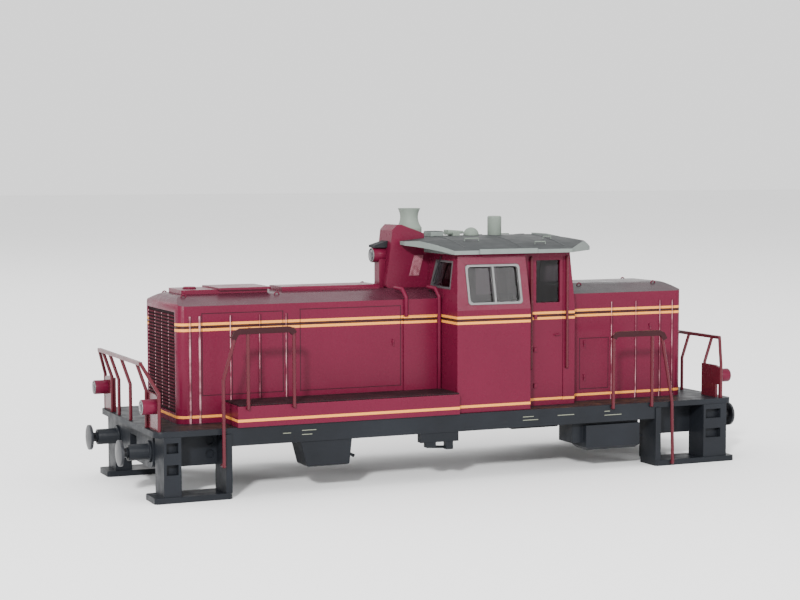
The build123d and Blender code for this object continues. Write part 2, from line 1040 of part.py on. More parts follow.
with BuildPart() as body_screws:
    for end in (-1, 1):
        x = end * screw_x
        rod(
            (x, 0, deck_bottom_z - screw_head_height), (x, 0, deck_bottom_z), screw_head_radius
        )
        rod((x, 0, deck_bottom_z), (x, 0, boss_top_z - screw_tip_gap), screw_radius)
        block(
            x - screw_head_radius,
            x + screw_head_radius,
            -screw_slot_width / 2,
            screw_slot_width / 2,
            deck_bottom_z - screw_head_height,
            deck_bottom_z - screw_head_height / 2,
            Mode.SUBTRACT,
        )
save(body_screws, "body_screws")

# ---------------------------------------------------------------- cab
with BuildPart() as cab_shell:
    cab_block(0, deck_z)
    cab_block(cab_wall, deck_z, Mode.SUBTRACT)
    for _, side in SIDES:
        side_window(0, side, Mode.SUBTRACT)
        end_window(-1, 0, side, Mode.SUBTRACT)
        end_window(1, 0, side, Mode.SUBTRACT)
        side_block(
            door_front,
            door_rear,
            doorway_inner,
            door_half_width,
            door_low_z,
            door_high_z,
            side,
            Mode.SUBTRACT,
        )
save(cab_shell, "cab_shell")

with BuildPart() as side_window_frames:
    for _, side in SIDES:
        side_window(0, side)
        side_window(window_frame, side, Mode.SUBTRACT)
        side_block(
            (window_front + window_rear - window_bar) / 2,
            (window_front + window_rear + window_bar) / 2,
            doorway_inner,
            cab_bay_half_width + cut_over,
            window_low_z,
            window_high_z,
            side,
        )
    cab_taper(-1, -frame_relief, Mode.INTERSECT)
    cab_taper(-1, glass_depth, Mode.SUBTRACT)
save(side_window_frames, "side_window_frames")

for end_name, end in ENDS:
    with BuildPart() as gaskets:
        for _, side in SIDES:
            end_window(end, 0, side)
            end_window(end, gasket_width, side, Mode.SUBTRACT)
        cab_taper(end, -frame_relief / 2, Mode.INTERSECT)
        cab_taper(end, glass_depth, Mode.SUBTRACT)
    save(gaskets, f"{end_name}_window_gaskets")

    with BuildPart() as glazing:
        for _, side in SIDES:
            end_window(end, 0, side)
            if end < 0:
                side_window(0, side)
        cab_taper(end, glass_depth, Mode.INTERSECT)
        cab_taper(end, cab_wall, Mode.SUBTRACT)
        if end > 0:
            for _, side in SIDES:
                side_block(
                    door_front + door_window_margin,
                    door_rear - door_window_margin,
                    doorway_inner,
                    doorway_inner + door_glass_thickness,
                    door_window_low_z,
                    door_high_z - door_window_margin,
                    side,
                )
    save(glazing, f"{end_name}_cab_glazing")

for side_name, side in SIDES:
    with BuildPart() as cab_door:
        side_block(
            door_front,
            door_rear,
            doorway_inner,
            door_half_width - door_recess,
            door_low_z,
            door_high_z,
            side,
        )
        side_block(
            door_front + door_window_margin,
            door_rear - door_window_margin,
            doorway_inner,
            door_half_width,
            door_window_low_z,
            door_high_z - door_window_margin,
            side,
            Mode.SUBTRACT,
        )
    save(cab_door, f"cab_door_{side_name}")

with BuildPart() as cab_floor:
    cab_block(cab_wall, floor_z)
    block(
        cab_front,
        cab_rear,
        -cab_bay_half_width,
        cab_bay_half_width,
        floor_z + floor_thickness,
        cab_top_z,
        Mode.SUBTRACT,
    )
save(cab_floor, "cab_floor")

desk_base_z = floor_z + floor_thickness
with BuildPart() as driver_desk:
    with BuildSketch(Plane.XZ):
        with BuildLine():
            Polyline(
                (desk_front, desk_base_z),
                (desk_front, desk_base_z + desk_height),
                (desk_front + desk_length / 2, desk_base_z + desk_height),
                (desk_front + desk_length, desk_base_z + desk_height - desk_slope),
                (desk_front + desk_length, desk_base_z),
                close=True,
            )
        make_face()
    extrude(amount=desk_half_width, both=True)
save(driver_desk, "driver_desk")

with BuildPart() as driver_seats:
    for _, side in SIDES:
        y0, y1 = seat_y - seat_size / 2, seat_y + seat_size / 2
        cushion_z = desk_base_z + seat_height
        with Locations((seat_x, side * seat_y, desk_base_z)):
            Cylinder(seat_post_radius, seat_height, align=(Align.CENTER, Align.CENTER, Align.MIN))
        side_block(
            seat_x - seat_size / 2,
            seat_x + seat_size / 2,
            y0,
            y1,
            cushion_z,
            cushion_z + seat_thickness,
            side,
        )
        side_block(
            seat_x + seat_size / 2 - seat_thickness,
            seat_x + seat_size / 2,
            y0,
            y1,
            cushion_z + seat_thickness,
            cushion_z + seat_back_height,
            side,
        )
save(driver_seats, "driver_seats")

# ---------------------------------------------------------------- roof
with BuildPart() as cab_roof:
    with BuildSketch(Plane.XY.offset(cab_top_z)):
        with BuildLine():
            Polyline(
                (roof_front_x, roof_tip_half_width),
                (cab_front, roof_half_width),
                (cab_rear - roof_corner_setback, roof_half_width),
                (roof_rear_x, roof_rear_half_width),
                (roof_rear_x, -roof_rear_half_width),
                (cab_rear - roof_corner_setback, -roof_half_width),
                (cab_front, -roof_half_width),
                (roof_front_x, -roof_tip_half_width),
                close=True,
            )
        make_face()
    extrude(amount=roof_crown_z - cab_top_z)
    with BuildSketch(Plane.YZ.offset(roof_front_x)):
        with BuildLine():
            Polyline(
                (roof_half_width, roof_edge_z),
                (roof_half_width, cab_top_z),
                (-roof_half_width, cab_top_z),
                (-roof_half_width, roof_edge_z),
            )
            ThreePointArc(
                (-roof_half_width, roof_edge_z),
                (0, roof_crown_z),
                (roof_half_width, roof_edge_z),
            )
        make_face()
    extrude(amount=roof_rear_x - roof_front_x, mode=Mode.INTERSECT)
    with BuildSketch(Plane.XZ):
        with BuildLine():
            Polyline(
                (roof_rear_x, roof_edge_z),
                (roof_rear_x, cab_top_z),
                (roof_front_x, cab_top_z),
                (roof_front_x, roof_crown_z - roof_front_drop),
                (roof_flat_front_x, roof_crown_z),
                (roof_flat_rear_x, roof_crown_z),
            )
            TangentArc(
                (roof_flat_rear_x, roof_crown_z), (roof_rear_x, roof_edge_z), tangent=(1, 0)
            )
        make_face()
    extrude(amount=roof_half_width, both=True, mode=Mode.INTERSECT)
    with BuildSketch(Plane.YZ.offset(roof_front_x)):
        with BuildLine():
            Line((roof_half_width, cab_top_z), (-roof_half_width, cab_top_z))
            ThreePointArc(
                (-roof_half_width, cab_top_z),
                (0, roof_crown_z - visor_drop),
                (roof_half_width, cab_top_z),
            )
        make_face()
    extrude(amount=roof_front_overhang, mode=Mode.SUBTRACT)
    block(
        roof_front_x,
        cab_front,
        -dome_half_width - fit_gap,
        dome_half_width + fit_gap,
        cab_top_z,
        roof_crown_z,
        Mode.SUBTRACT,
    )
    block(
        roof_flat_front_x,
        roof_flat_rear_x,
        -roof_rear_half_width,
        roof_rear_half_width,
        cab_top_z,
        cab_top_z + roof_recess,
        Mode.SUBTRACT,
    )
save(cab_roof, "cab_roof")

with BuildPart() as rain_strips:
    for _, side in SIDES:
        side_block(
            strip_front,
            strip_front + strip_length,
            roof_half_width,
            roof_half_width + strip_thickness,
            cab_top_z,
            cab_top_z + strip_height,
            side,
        )
save(rain_strips, "rain_strips")

with BuildPart() as roof_vent:
    rod((vent_x, 0, roof_crown_z - fitting_sink), (vent_x, 0, roof_crown_z + vent_height), vent_radius)
    fillet(roof_vent.edges().group_by(Axis.Z)[-1], radius=vent_round)
    add(cab_roof.part, mode=Mode.SUBTRACT)
save(roof_vent, "roof_vent")

with BuildPart() as roof_bell:
    with Locations((bell_x, 0, roof_crown_z)):
        Sphere(bell_radius)
    add(cab_roof.part, mode=Mode.SUBTRACT)
save(roof_bell, "roof_bell")

with BuildPart() as roof_horn:
    block(
        horn_x - horn_foot / 2,
        horn_x + horn_foot / 2,
        -horn_spacing,
        horn_spacing,
        roof_crown_z - fitting_sink,
        roof_crown_z + horn_rise,
    )
    add(cab_roof.part, mode=Mode.SUBTRACT)
    for y in (-horn_spacing / 2, horn_spacing / 2):
        with Locations(
            Plane(origin=(horn_x - horn_length / 2, y, roof_crown_z + horn_rise), z_dir=(1, 0, 0))
        ):
            Cone(horn_mouth, horn_throat, horn_length, align=(Align.CENTER, Align.CENTER, Align.MIN))
save(roof_horn, "roof_horn")

with BuildPart() as roof_box:
    block(
        box_front,
        box_front + box_length,
        -box_half_width,
        box_half_width,
        roof_crown_z - fitting_sink,
        roof_crown_z + box_height,
    )
    fillet(roof_box.edges().group_by(Axis.Z)[-1], radius=box_round)
    add(cab_roof.part, mode=Mode.SUBTRACT)
save(roof_box, "roof_box")

with BuildPart() as roof_hatch:
    hatch_rear = hatch_front + hatch_length
    with BuildSketch(Plane.XZ):
        with BuildLine():
            Polyline(
                (hatch_front, roof_surface_z(hatch_front) - fitting_sink),
                (hatch_front, roof_surface_z(hatch_front) + hatch_height),
                (hatch_rear, roof_surface_z(hatch_rear) + hatch_height),
                (hatch_rear, roof_surface_z(hatch_rear) - fitting_sink),
                close=True,
            )
        make_face()
    extrude(amount=hatch_half_width, both=True)
    add(cab_roof.part, mode=Mode.SUBTRACT)
save(roof_hatch, "roof_hatch")

# ---------------------------------------------------------------- exhaust dome
with BuildPart() as exhaust_dome:
    with BuildSketch(Plane.XZ):
        with BuildLine():
            Polyline(
                (dome_front_bottom, hood_crown_z),
                (dome_front_top, dome_front_z - dome_brow),
                (dome_front_top + dome_brow, dome_front_z),
                (dome_front_top + 2 * dome_brow, dome_front_z),
                (cab_front, dome_rear_z),
                (cab_front, cab_top_z),
                (cab_front + end_lean, cab_top_z),
                (cab_front + end_lean, hood_crown_z),
                close=True,
            )
        make_face()
    extrude(amount=dome_half_width, both=True)
    dome_nose = exhaust_dome.faces().sort_by(Axis.X)[0]
    fillet(dome_nose.edges().filter_by(Axis.Y), radius=dome_corner)
    block(
        cab_front - flue_length,
        cab_front + end_lean,
        -dome_half_width + hood_wall,
        dome_half_width - hood_wall,
        hood_crown_z,
        cab_top_z,
        Mode.SUBTRACT,
    )
    cab_block(0, deck_z, Mode.SUBTRACT)
save(exhaust_dome, "exhaust_dome")

with BuildPart() as chimney:
    flare_z = dome_rear_z + chimney_foot_height
    with BuildSketch(Plane.XZ):
        with BuildLine():
            Spline(
                (chimney_x - chimney_base_radius, flare_z),
                (chimney_x - chimney_neck_radius, flare_z + chimney_neck_height),
                (chimney_x - chimney_rim_radius, chimney_top_z),
            )
            Polyline(
                (chimney_x - chimney_rim_radius, chimney_top_z),
                (chimney_x - chimney_bore_radius, chimney_top_z),
                (chimney_x - chimney_bore_radius, flare_z),
                (chimney_x, flare_z),
                (chimney_x, roof_edge_z),
                (chimney_x - chimney_base_radius, roof_edge_z),
                (chimney_x - chimney_base_radius, flare_z),
            )
        make_face()
    revolve(axis=Axis((chimney_x, 0, 0), (0, 0, 1)))
    add(cab_roof.part, mode=Mode.SUBTRACT)
    add(exhaust_dome.part, mode=Mode.SUBTRACT)
save(chimney, "chimney")

panel_rear_x = cab_front - fit_gap
with BuildPart() as dome_grilles:
    for _, side in SIDES:
        with BuildSketch(Plane.XZ.offset(-side * dome_half_width)) as mesh_panel:
            with BuildLine():
                Polyline(
                    (panel_rear_x - panel_slant - panel_length, panel_low_z),
                    (panel_rear_x - panel_length, panel_low_z + panel_height),
                    (panel_rear_x, panel_low_z + panel_height),
                    (panel_rear_x - panel_slant, panel_low_z),
                    close=True,
                )
            make_face()
        extrude(mesh_panel.sketch, amount=-side * panel_relief)
save(dome_grilles, "dome_grilles")

# ---------------------------------------------------------------- upper lamps
lens_radius = top_lamp_radius - lamp_wall
lamp_front_x = dome_front_top - lamp_stand_off - top_lamp_length
with BuildPart() as top_lamp_housing:
    rod((dome_front_top, 0, top_lamp_z), (lamp_front_x, 0, top_lamp_z), top_lamp_radius)
    block(
        dome_front_bottom - lamp_stand_off,
        dome_front_top,
        -top_lamp_radius + lamp_wall,
        top_lamp_radius - lamp_wall,
        hood_crown_z,
        top_lamp_z,
    )
    rod(
        (lamp_front_x - cut_over, 0, top_lamp_z),
        (lamp_front_x + lens_thickness, 0, top_lamp_z),
        lens_radius,
        Mode.SUBTRACT,
    )
    add(exhaust_dome.part, mode=Mode.SUBTRACT)
save(top_lamp_housing, "top_lamp_housing")

with BuildPart() as top_lamp_shade:
    shade_z = top_lamp_z + top_lamp_radius
    with BuildSketch(Plane.XZ):
        with BuildLine():
            Polyline(
                (dome_front_top, shade_z),
                (dome_front_top, shade_z + shade_height),
                (lamp_front_x, shade_z + shade_height / 3),
                (lamp_front_x, shade_z),
                close=True,
            )
        make_face()
    extrude(amount=top_lamp_radius, both=True)
    add(exhaust_dome.part, mode=Mode.SUBTRACT)
save(top_lamp_shade, "top_lamp_shade")

rear_lamp_front_x = cab_rear + rear_lamp_reach
with BuildPart() as rear_lamp_housing:
    rod(
        (cab_rear - end_lean - cut_over, 0, rear_lamp_z),
        (rear_lamp_front_x, 0, rear_lamp_z),
        top_lamp_radius,
    )
    block(
        cab_rear - end_lean - cut_over,
        rear_lamp_front_x - lens_thickness,
        -top_lamp_radius + lamp_wall,
        top_lamp_radius - lamp_wall,
        rear_lamp_z,
        cab_top_z,
    )
    rod(
        (rear_lamp_front_x - lens_thickness, 0, rear_lamp_z),
        (rear_lamp_front_x + cut_over, 0, rear_lamp_z),
        lens_radius,
        Mode.SUBTRACT,
    )
    cab_block(0, deck_z, Mode.SUBTRACT)
save(rear_lamp_housing, "rear_lamp_housing")

# ---------------------------------------------------------------- railings and buffer-beam lamps
for end_name, end in ENDS:
    post_x = railing_x(end)
    rail_top_x = post_x + end * rail_reach
    plate_x = post_x - end * plate_setback
    strut_x = post_x - end * strut_setback
    strut_y = corner_plate_outer - rail_bar / 2
    middle_posts = front_post_y if end < 0 else rear_post_y
    with BuildPart() as railing:
        block(
            rail_top_x - rail_bar / 2,
            rail_top_x + rail_bar / 2,
            -rail_half_span,
            rail_half_span,
            rail_z - rail_bar,
            rail_z,
        )
        for y in (*middle_posts, corner_plate_inner, -corner_plate_inner):
            bar((rail_top_x, y, rail_z - rail_bar / 2), (post_x, y, knee_z), rail_bar / 2)
            rod((post_x, y, knee_z), (post_x, y, deck_z), rail_bar / 2)
        for _, side in SIDES:
            knee = (strut_x, side * strut_y, knee_z)
            bar((rail_top_x, side * rail_half_span, rail_z - rail_bar / 2), knee, rail_bar / 2)
            rod(knee, (strut_x, side * strut_y, deck_z), rail_bar / 2)
            with BuildSketch(Plane.YZ.offset(plate_x)) as corner_plate:
                with BuildLine():
                    Polyline(
                        (side * corner_plate_inner, deck_z),
                        (side * corner_plate_inner, deck_z + corner_plate_height),
                        (side * lamp_y, deck_z + corner_plate_height),
                        (side * strut_y, knee_z - rail_bar),
                        (side * strut_y, deck_z),
                        close=True,
                    )
                make_face()
            extrude(corner_plate.sketch, amount=-end * plate_thickness)
            if end > 0:
                side_block(
                    plate_x - plate_thickness - cut_over,
                    plate_x + cut_over,
                    plate_slot_inner,
                    plate_slot_inner + plate_slot_width,
                    deck_z,
                    lamp_z - lamp_radius - plate_slot_gap,
                    side,
                    Mode.SUBTRACT,
                )
    save(railing, f"{end_name}_railing")

with BuildPart() as lamp_housings:
    for end in (-1, 1):
        for _, side in SIDES:
            back, seat, rim = lamp_points(end, side)
            rod(back, rim, lamp_radius)
            rod(seat, rim, lamp_radius - lamp_wall, Mode.SUBTRACT)
save(lamp_housings, "lamp_housings")

with BuildPart() as lamp_lenses:
    for end in (-1, 1):
        for _, side in SIDES:
            _, seat, rim = lamp_points(end, side)
            rod(seat, rim, lamp_radius - lamp_wall)
    for rim_x, seat_x, z in (
        (lamp_front_x, lamp_front_x + lens_thickness, top_lamp_z),
        (rear_lamp_front_x, rear_lamp_front_x - lens_thickness, rear_lamp_z),
    ):
        rod((seat_x, 0, z), (rim_x, 0, z), lens_radius)
save(lamp_lenses, "lamp_lenses")

# ---------------------------------------------------------------- handrails
with BuildPart() as front_handrails:
    for _, side in SIDES:
        y = side * (walkway_half_width + wire_radius + fit_gap)
        foot_y = side * front_foot_y
        post_x = -step_board_outer_x + front_step_length - step_post_thickness
        splay_x = front_handrail_x - handrail_splay
        inner_x = front_handrail_x + handrail_length
        knee = (splay_x, y, front_handrail_z - handrail_knee)
        foot = (splay_x, y, front_foot_z)
        bar((front_handrail_x, y, front_handrail_z), (inner_x, y, front_handrail_z), wire_radius)
        bar((front_handrail_x, y, front_handrail_z), knee, wire_radius)
        bar(knee, foot, wire_radius)
        bar(foot, (splay_x, foot_y, front_foot_z), wire_radius)
        rod((splay_x, foot_y, front_foot_z), (post_x, foot_y, front_foot_z), wire_radius)
        for x in (front_handrail_x + middle_leg, inner_x):
            leg_foot = (x, y, tread_z - wire_radius)
            bar((x, y, front_handrail_z), leg_foot, wire_radius)
            rod(leg_foot, (x, side * walkway_half_width, leg_foot[2]), wire_radius)
save(front_handrails, "front_handrails")

with BuildPart() as rear_handrails:
    for _, side in SIDES:
        y = side * (sill_half_width + wire_radius + fit_gap)
        board_y = side * (step_half_width + wire_radius + fit_gap)
        splay_x = rear_handrail_x + handrail_splay
        inner_x = rear_handrail_x - handrail_length
        knee = (splay_x, y, deck_z)
        foot = (splay_x, board_y, step_board_thickness / 2)
        bar((rear_handrail_x, y, rear_handrail_z), (inner_x, y, rear_handrail_z), wire_radius)
        bar((rear_handrail_x, y, rear_handrail_z), knee, wire_radius)
        bar(knee, foot, wire_radius)
        rod(foot, (splay_x, side * step_half_width, foot[2]), wire_radius)
        for x in (rear_handrail_x - middle_leg, inner_x):
            leg_foot = (x, y, deck_z - deck_thickness / 2)
            bar((x, y, rear_handrail_z), leg_foot, wire_radius)
            rod(leg_foot, (x, side * sill_half_width, leg_foot[2]), wire_radius)
save(rear_handrails, "rear_handrails")

with BuildPart() as door_grab_rails:
    for _, side in SIDES:
        y = side * (door_half_width + grab_rail_radius + fit_gap)
        for x in (door_front - grab_rail_gap, door_rear + grab_rail_gap):
            bar((x, y, grab_rail_low_z), (x, y, grab_rail_high_z), grab_rail_radius)
            for z in (grab_rail_low_z, grab_rail_high_z):
                rod((x, y, z), (x, side * door_half_width, z), grab_rail_radius)
save(door_grab_rails, "door_grab_rails")

# ---------------------------------------------------------------- lighting
with BuildPart() as light_boards:
    for end in (-1, 1):
        board_end = end * (screw_x + screw_radius)
        block(
            board_end,
            board_end - end * board_length,
            -board_half_width,
            board_half_width,
            boss_top_z,
            boss_top_z + board_thickness,
        )
save(light_boards, "light_boards")
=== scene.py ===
"""H0 centre-cab diesel shunter: materials, fine detail, studio and camera round the CAD frame."""

import json
import math

import bmesh
import bpy
from mathutils import Matrix, Vector


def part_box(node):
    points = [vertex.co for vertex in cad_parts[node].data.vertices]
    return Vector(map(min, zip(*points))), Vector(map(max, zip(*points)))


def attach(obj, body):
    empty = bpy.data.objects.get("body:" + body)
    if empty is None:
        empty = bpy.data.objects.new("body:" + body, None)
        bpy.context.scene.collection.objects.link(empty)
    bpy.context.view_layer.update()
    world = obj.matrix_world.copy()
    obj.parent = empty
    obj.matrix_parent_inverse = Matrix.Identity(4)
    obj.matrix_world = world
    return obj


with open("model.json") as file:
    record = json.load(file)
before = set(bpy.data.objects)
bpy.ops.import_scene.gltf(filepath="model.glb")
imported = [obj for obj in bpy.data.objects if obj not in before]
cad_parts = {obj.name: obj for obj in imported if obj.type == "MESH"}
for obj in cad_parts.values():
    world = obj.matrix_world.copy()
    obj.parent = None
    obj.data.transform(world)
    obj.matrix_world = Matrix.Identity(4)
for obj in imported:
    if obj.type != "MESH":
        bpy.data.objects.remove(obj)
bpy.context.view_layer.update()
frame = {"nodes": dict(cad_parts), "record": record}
nodes = frame["nodes"]
MM = 0.001

# ---------------------------------------------------------------- camera
CAMERA_AZIMUTH = math.radians(-23.59)
CAMERA_ELEVATION = math.radians(4.41)
CAMERA_ROLL = math.radians(-0.15)
CAMERA_PLACE = Vector((-137.8, -302.8, 54.05)) * MM
SENSOR_WIDTH = 36.0
LENS = 82.19
SHIFT = (0.0072, 0.0153)
CLIP = (0.01, 10.0)

camera_data = bpy.data.cameras.new("camera")
camera_data.sensor_width = SENSOR_WIDTH
camera_data.lens = LENS
camera_data.shift_x, camera_data.shift_y = SHIFT
camera_data.clip_start, camera_data.clip_end = CLIP
camera = bpy.data.objects.new("camera", camera_data)
bpy.context.scene.collection.objects.link(camera)
back = Vector(
    (
        math.sin(CAMERA_AZIMUTH) * math.cos(CAMERA_ELEVATION),
        -math.cos(CAMERA_AZIMUTH) * math.cos(CAMERA_ELEVATION),
        math.sin(CAMERA_ELEVATION),
    )
)
camera.location = CAMERA_PLACE
camera.rotation_mode = "QUATERNION"
roll = Matrix.Rotation(CAMERA_ROLL, 4, "Z").to_quaternion()
camera.rotation_quaternion = (-back).to_track_quat("-Z", "Y") @ roll
bpy.context.scene.camera = camera


# ---------------------------------------------------------------- material helpers
class Graph:
    """A material's node graph, with short names for the few kinds of node used here."""

    def __init__(self, name):
        self.material = bpy.data.materials.new(name)
        self.material.use_nodes = True
        self.tree = self.material.node_tree
        self.shader = self.tree.nodes["Principled BSDF"]
        self.coords = self.tree.nodes.new("ShaderNodeTexCoord").outputs["Object"]
        self.geometry = self.tree.nodes.new("ShaderNodeNewGeometry")

    def link(self, value, socket):
        """Joins an output to an input, or writes a plain value there."""
        if isinstance(value, bpy.types.NodeSocket):
            self.tree.links.new(value, socket)
        else:
            socket.default_value = value

    def math(self, operation, a, b=0.0):
        """One Math node."""
        node = self.tree.nodes.new("ShaderNodeMath")
        node.operation = operation
        self.link(a, node.inputs[0])
        self.link(b, node.inputs[1])
        return node.outputs[0]

    def axis(self, name):
        """The x, y or z place in the object, in metres."""
        node = self.tree.nodes.new("ShaderNodeSeparateXYZ")
        self.link(self.coords, node.inputs[0])
        return node.outputs["XYZ".index(name)]

    def facing(self, name):
        """How far the surface's normal points along an axis, from 0 to 1 either way."""
        node = self.tree.nodes.new("ShaderNodeSeparateXYZ")
        self.link(self.geometry.outputs["Normal"], node.inputs[0])
        return self.math("ABSOLUTE", node.outputs["XYZ".index(name)])

    def band(self, value, low, high):
        """1 where low < value < high."""
        above = self.math("GREATER_THAN", value, low)
        below = self.math("LESS_THAN", value, high)
        return self.math("MULTIPLY", above, below)

    def noise(self, scale, detail=4.0, roughness=0.55, stretch=None):
        """Noise over the object, with its frequency per metre."""
        node = self.tree.nodes.new("ShaderNodeTexNoise")
        vector = self.coords
        if stretch:
            mapping = self.tree.nodes.new("ShaderNodeMapping")
            mapping.inputs["Scale"].default_value = stretch
            self.link(self.coords, mapping.inputs["Vector"])
            vector = mapping.outputs[0]
        self.link(vector, node.inputs["Vector"])
        node.inputs["Scale"].default_value = scale
        node.inputs["Detail"].default_value = detail
        node.inputs["Roughness"].default_value = roughness
        return node.outputs["Fac"]

    def ramp(self, value, stops):
        """A colour ramp from (place, grey or colour) stops."""
        node = self.tree.nodes.new("ShaderNodeValToRGB")
        ramp = node.color_ramp
        while len(ramp.elements) < len(stops):
            ramp.elements.new(0.5)
        for element, (place, colour) in zip(ramp.elements, stops):
            element.position = place
            grey = (colour, colour, colour)
            element.color = (*(colour if isinstance(colour, tuple) else grey), 1.0)
        self.link(value, node.inputs[0])
        return node.outputs[0]

    def mix(self, factor, a, b):
        """Mixes two colours."""
        node = self.tree.nodes.new("ShaderNodeMix")
        node.data_type = "RGBA"
        self.link(factor, node.inputs[0])
        self.link((*a, 1.0) if isinstance(a, tuple) else a, node.inputs[6])
        self.link((*b, 1.0) if isinstance(b, tuple) else b, node.inputs[7])
        return node.outputs[2]

    def bump(self, height, distance, strength=0.5):
        """Bump from a height, joined to the shader."""
        node = self.tree.nodes.new("ShaderNodeBump")
        node.inputs["Distance"].default_value = distance
        node.inputs["Strength"].default_value = strength
        self.link(height, node.inputs["Height"])
        self.link(node.outputs[0], self.shader.inputs["Normal"])


MOTTLE = 90.0  # noise frequencies, per metre
GLOSS_PATCHES = 420.0
ORANGE_PEEL = 1800.0
DUST = 2600.0
DUST_AMOUNT = 0.12


def paint(
    name, colour, rough=(0.34, 0.5), speckle=0.05, grain=0.02 * MM, metallic=0.0, shine=0.13
):
    """Moulded and painted plastic: a mottled tone, uneven gloss and a fine orange peel."""
    graph = Graph(name)
    tone = graph.noise(MOTTLE, 5.0)
    low = tuple(c * (1 - speckle) for c in colour)
    high = tuple(min(1.0, c * (1 + speckle)) for c in colour)
    base = graph.ramp(tone, ((0.3, low), (0.7, high)))
    dust = graph.ramp(graph.noise(DUST, 2.0), ((0.7, 0.0), (0.82, 1.0)))
    light = tuple(min(1.0, c * 1.35 + 0.015) for c in colour)
    base = graph.mix(graph.math("MULTIPLY", dust, DUST_AMOUNT), base, light)
    gloss = graph.ramp(graph.noise(GLOSS_PATCHES, 3.0), ((0.3, rough[0]), (0.75, rough[1])))
    graph.link(gloss, graph.shader.inputs["Roughness"])
    graph.shader.inputs["Metallic"].default_value = metallic
    graph.shader.inputs["Specular IOR Level"].default_value = shine
    graph.bump(graph.noise(ORANGE_PEEL, 3.0), grain)
    graph.base = base
    return graph


def finish_colour(graph):
    """Joins the graph's own colour to the shader and returns the material."""
    graph.link(graph.base, graph.shader.inputs["Base Color"])
    return graph.material


BURGUNDY = (0.086, 0.0052, 0.0195)
STRIPE_YELLOW = (0.62, 0.24, 0.045)
STRIPE_GAP = (0.028, 0.006, 0.006)
ROOF_GREY = (0.026, 0.0285, 0.0295)
ROOF_EDGE_HIGHLIGHT = (0.135, 0.155, 0.145)
PALE_GREY = (0.14, 0.165, 0.142)
FRAME_BLACK = (0.0085, 0.0098, 0.0125)
# dark of the panel seams, also used for the painted shade beside the ribs
SEAM_AND_SHADE_DARK = (0.012, 0.003, 0.005)

UPPER_STRIPE_TOP = 28.77 * MM
LOWER_STRIPE_TOP = 13.16 * MM
STRIPE_HEIGHT = 0.46 * MM
STRIPE_SPACE = 0.5 * MM
RIB_TOP = 29.9 * MM
# rib widths in millimetres, with the strength and colour of the painted highlight on each rib's edge and
# of the painted shade beside it
CORNER_RIBS_X = -45.0
RIB_LIGHT = 0.16
CORNER_RIB_LIGHT = 0.34
RIB_SHADE = (0.12, 0.34)
RIB_SHADE_AMOUNT = 0.7
RIB_HIGHLIGHT_AMOUNT = 0.8
SEAM_AMOUNT = 0.8
SEAM_WIDTH = 0.16
RIB_HIGHLIGHT_COLOUR = (0.45, 0.24, 0.26)


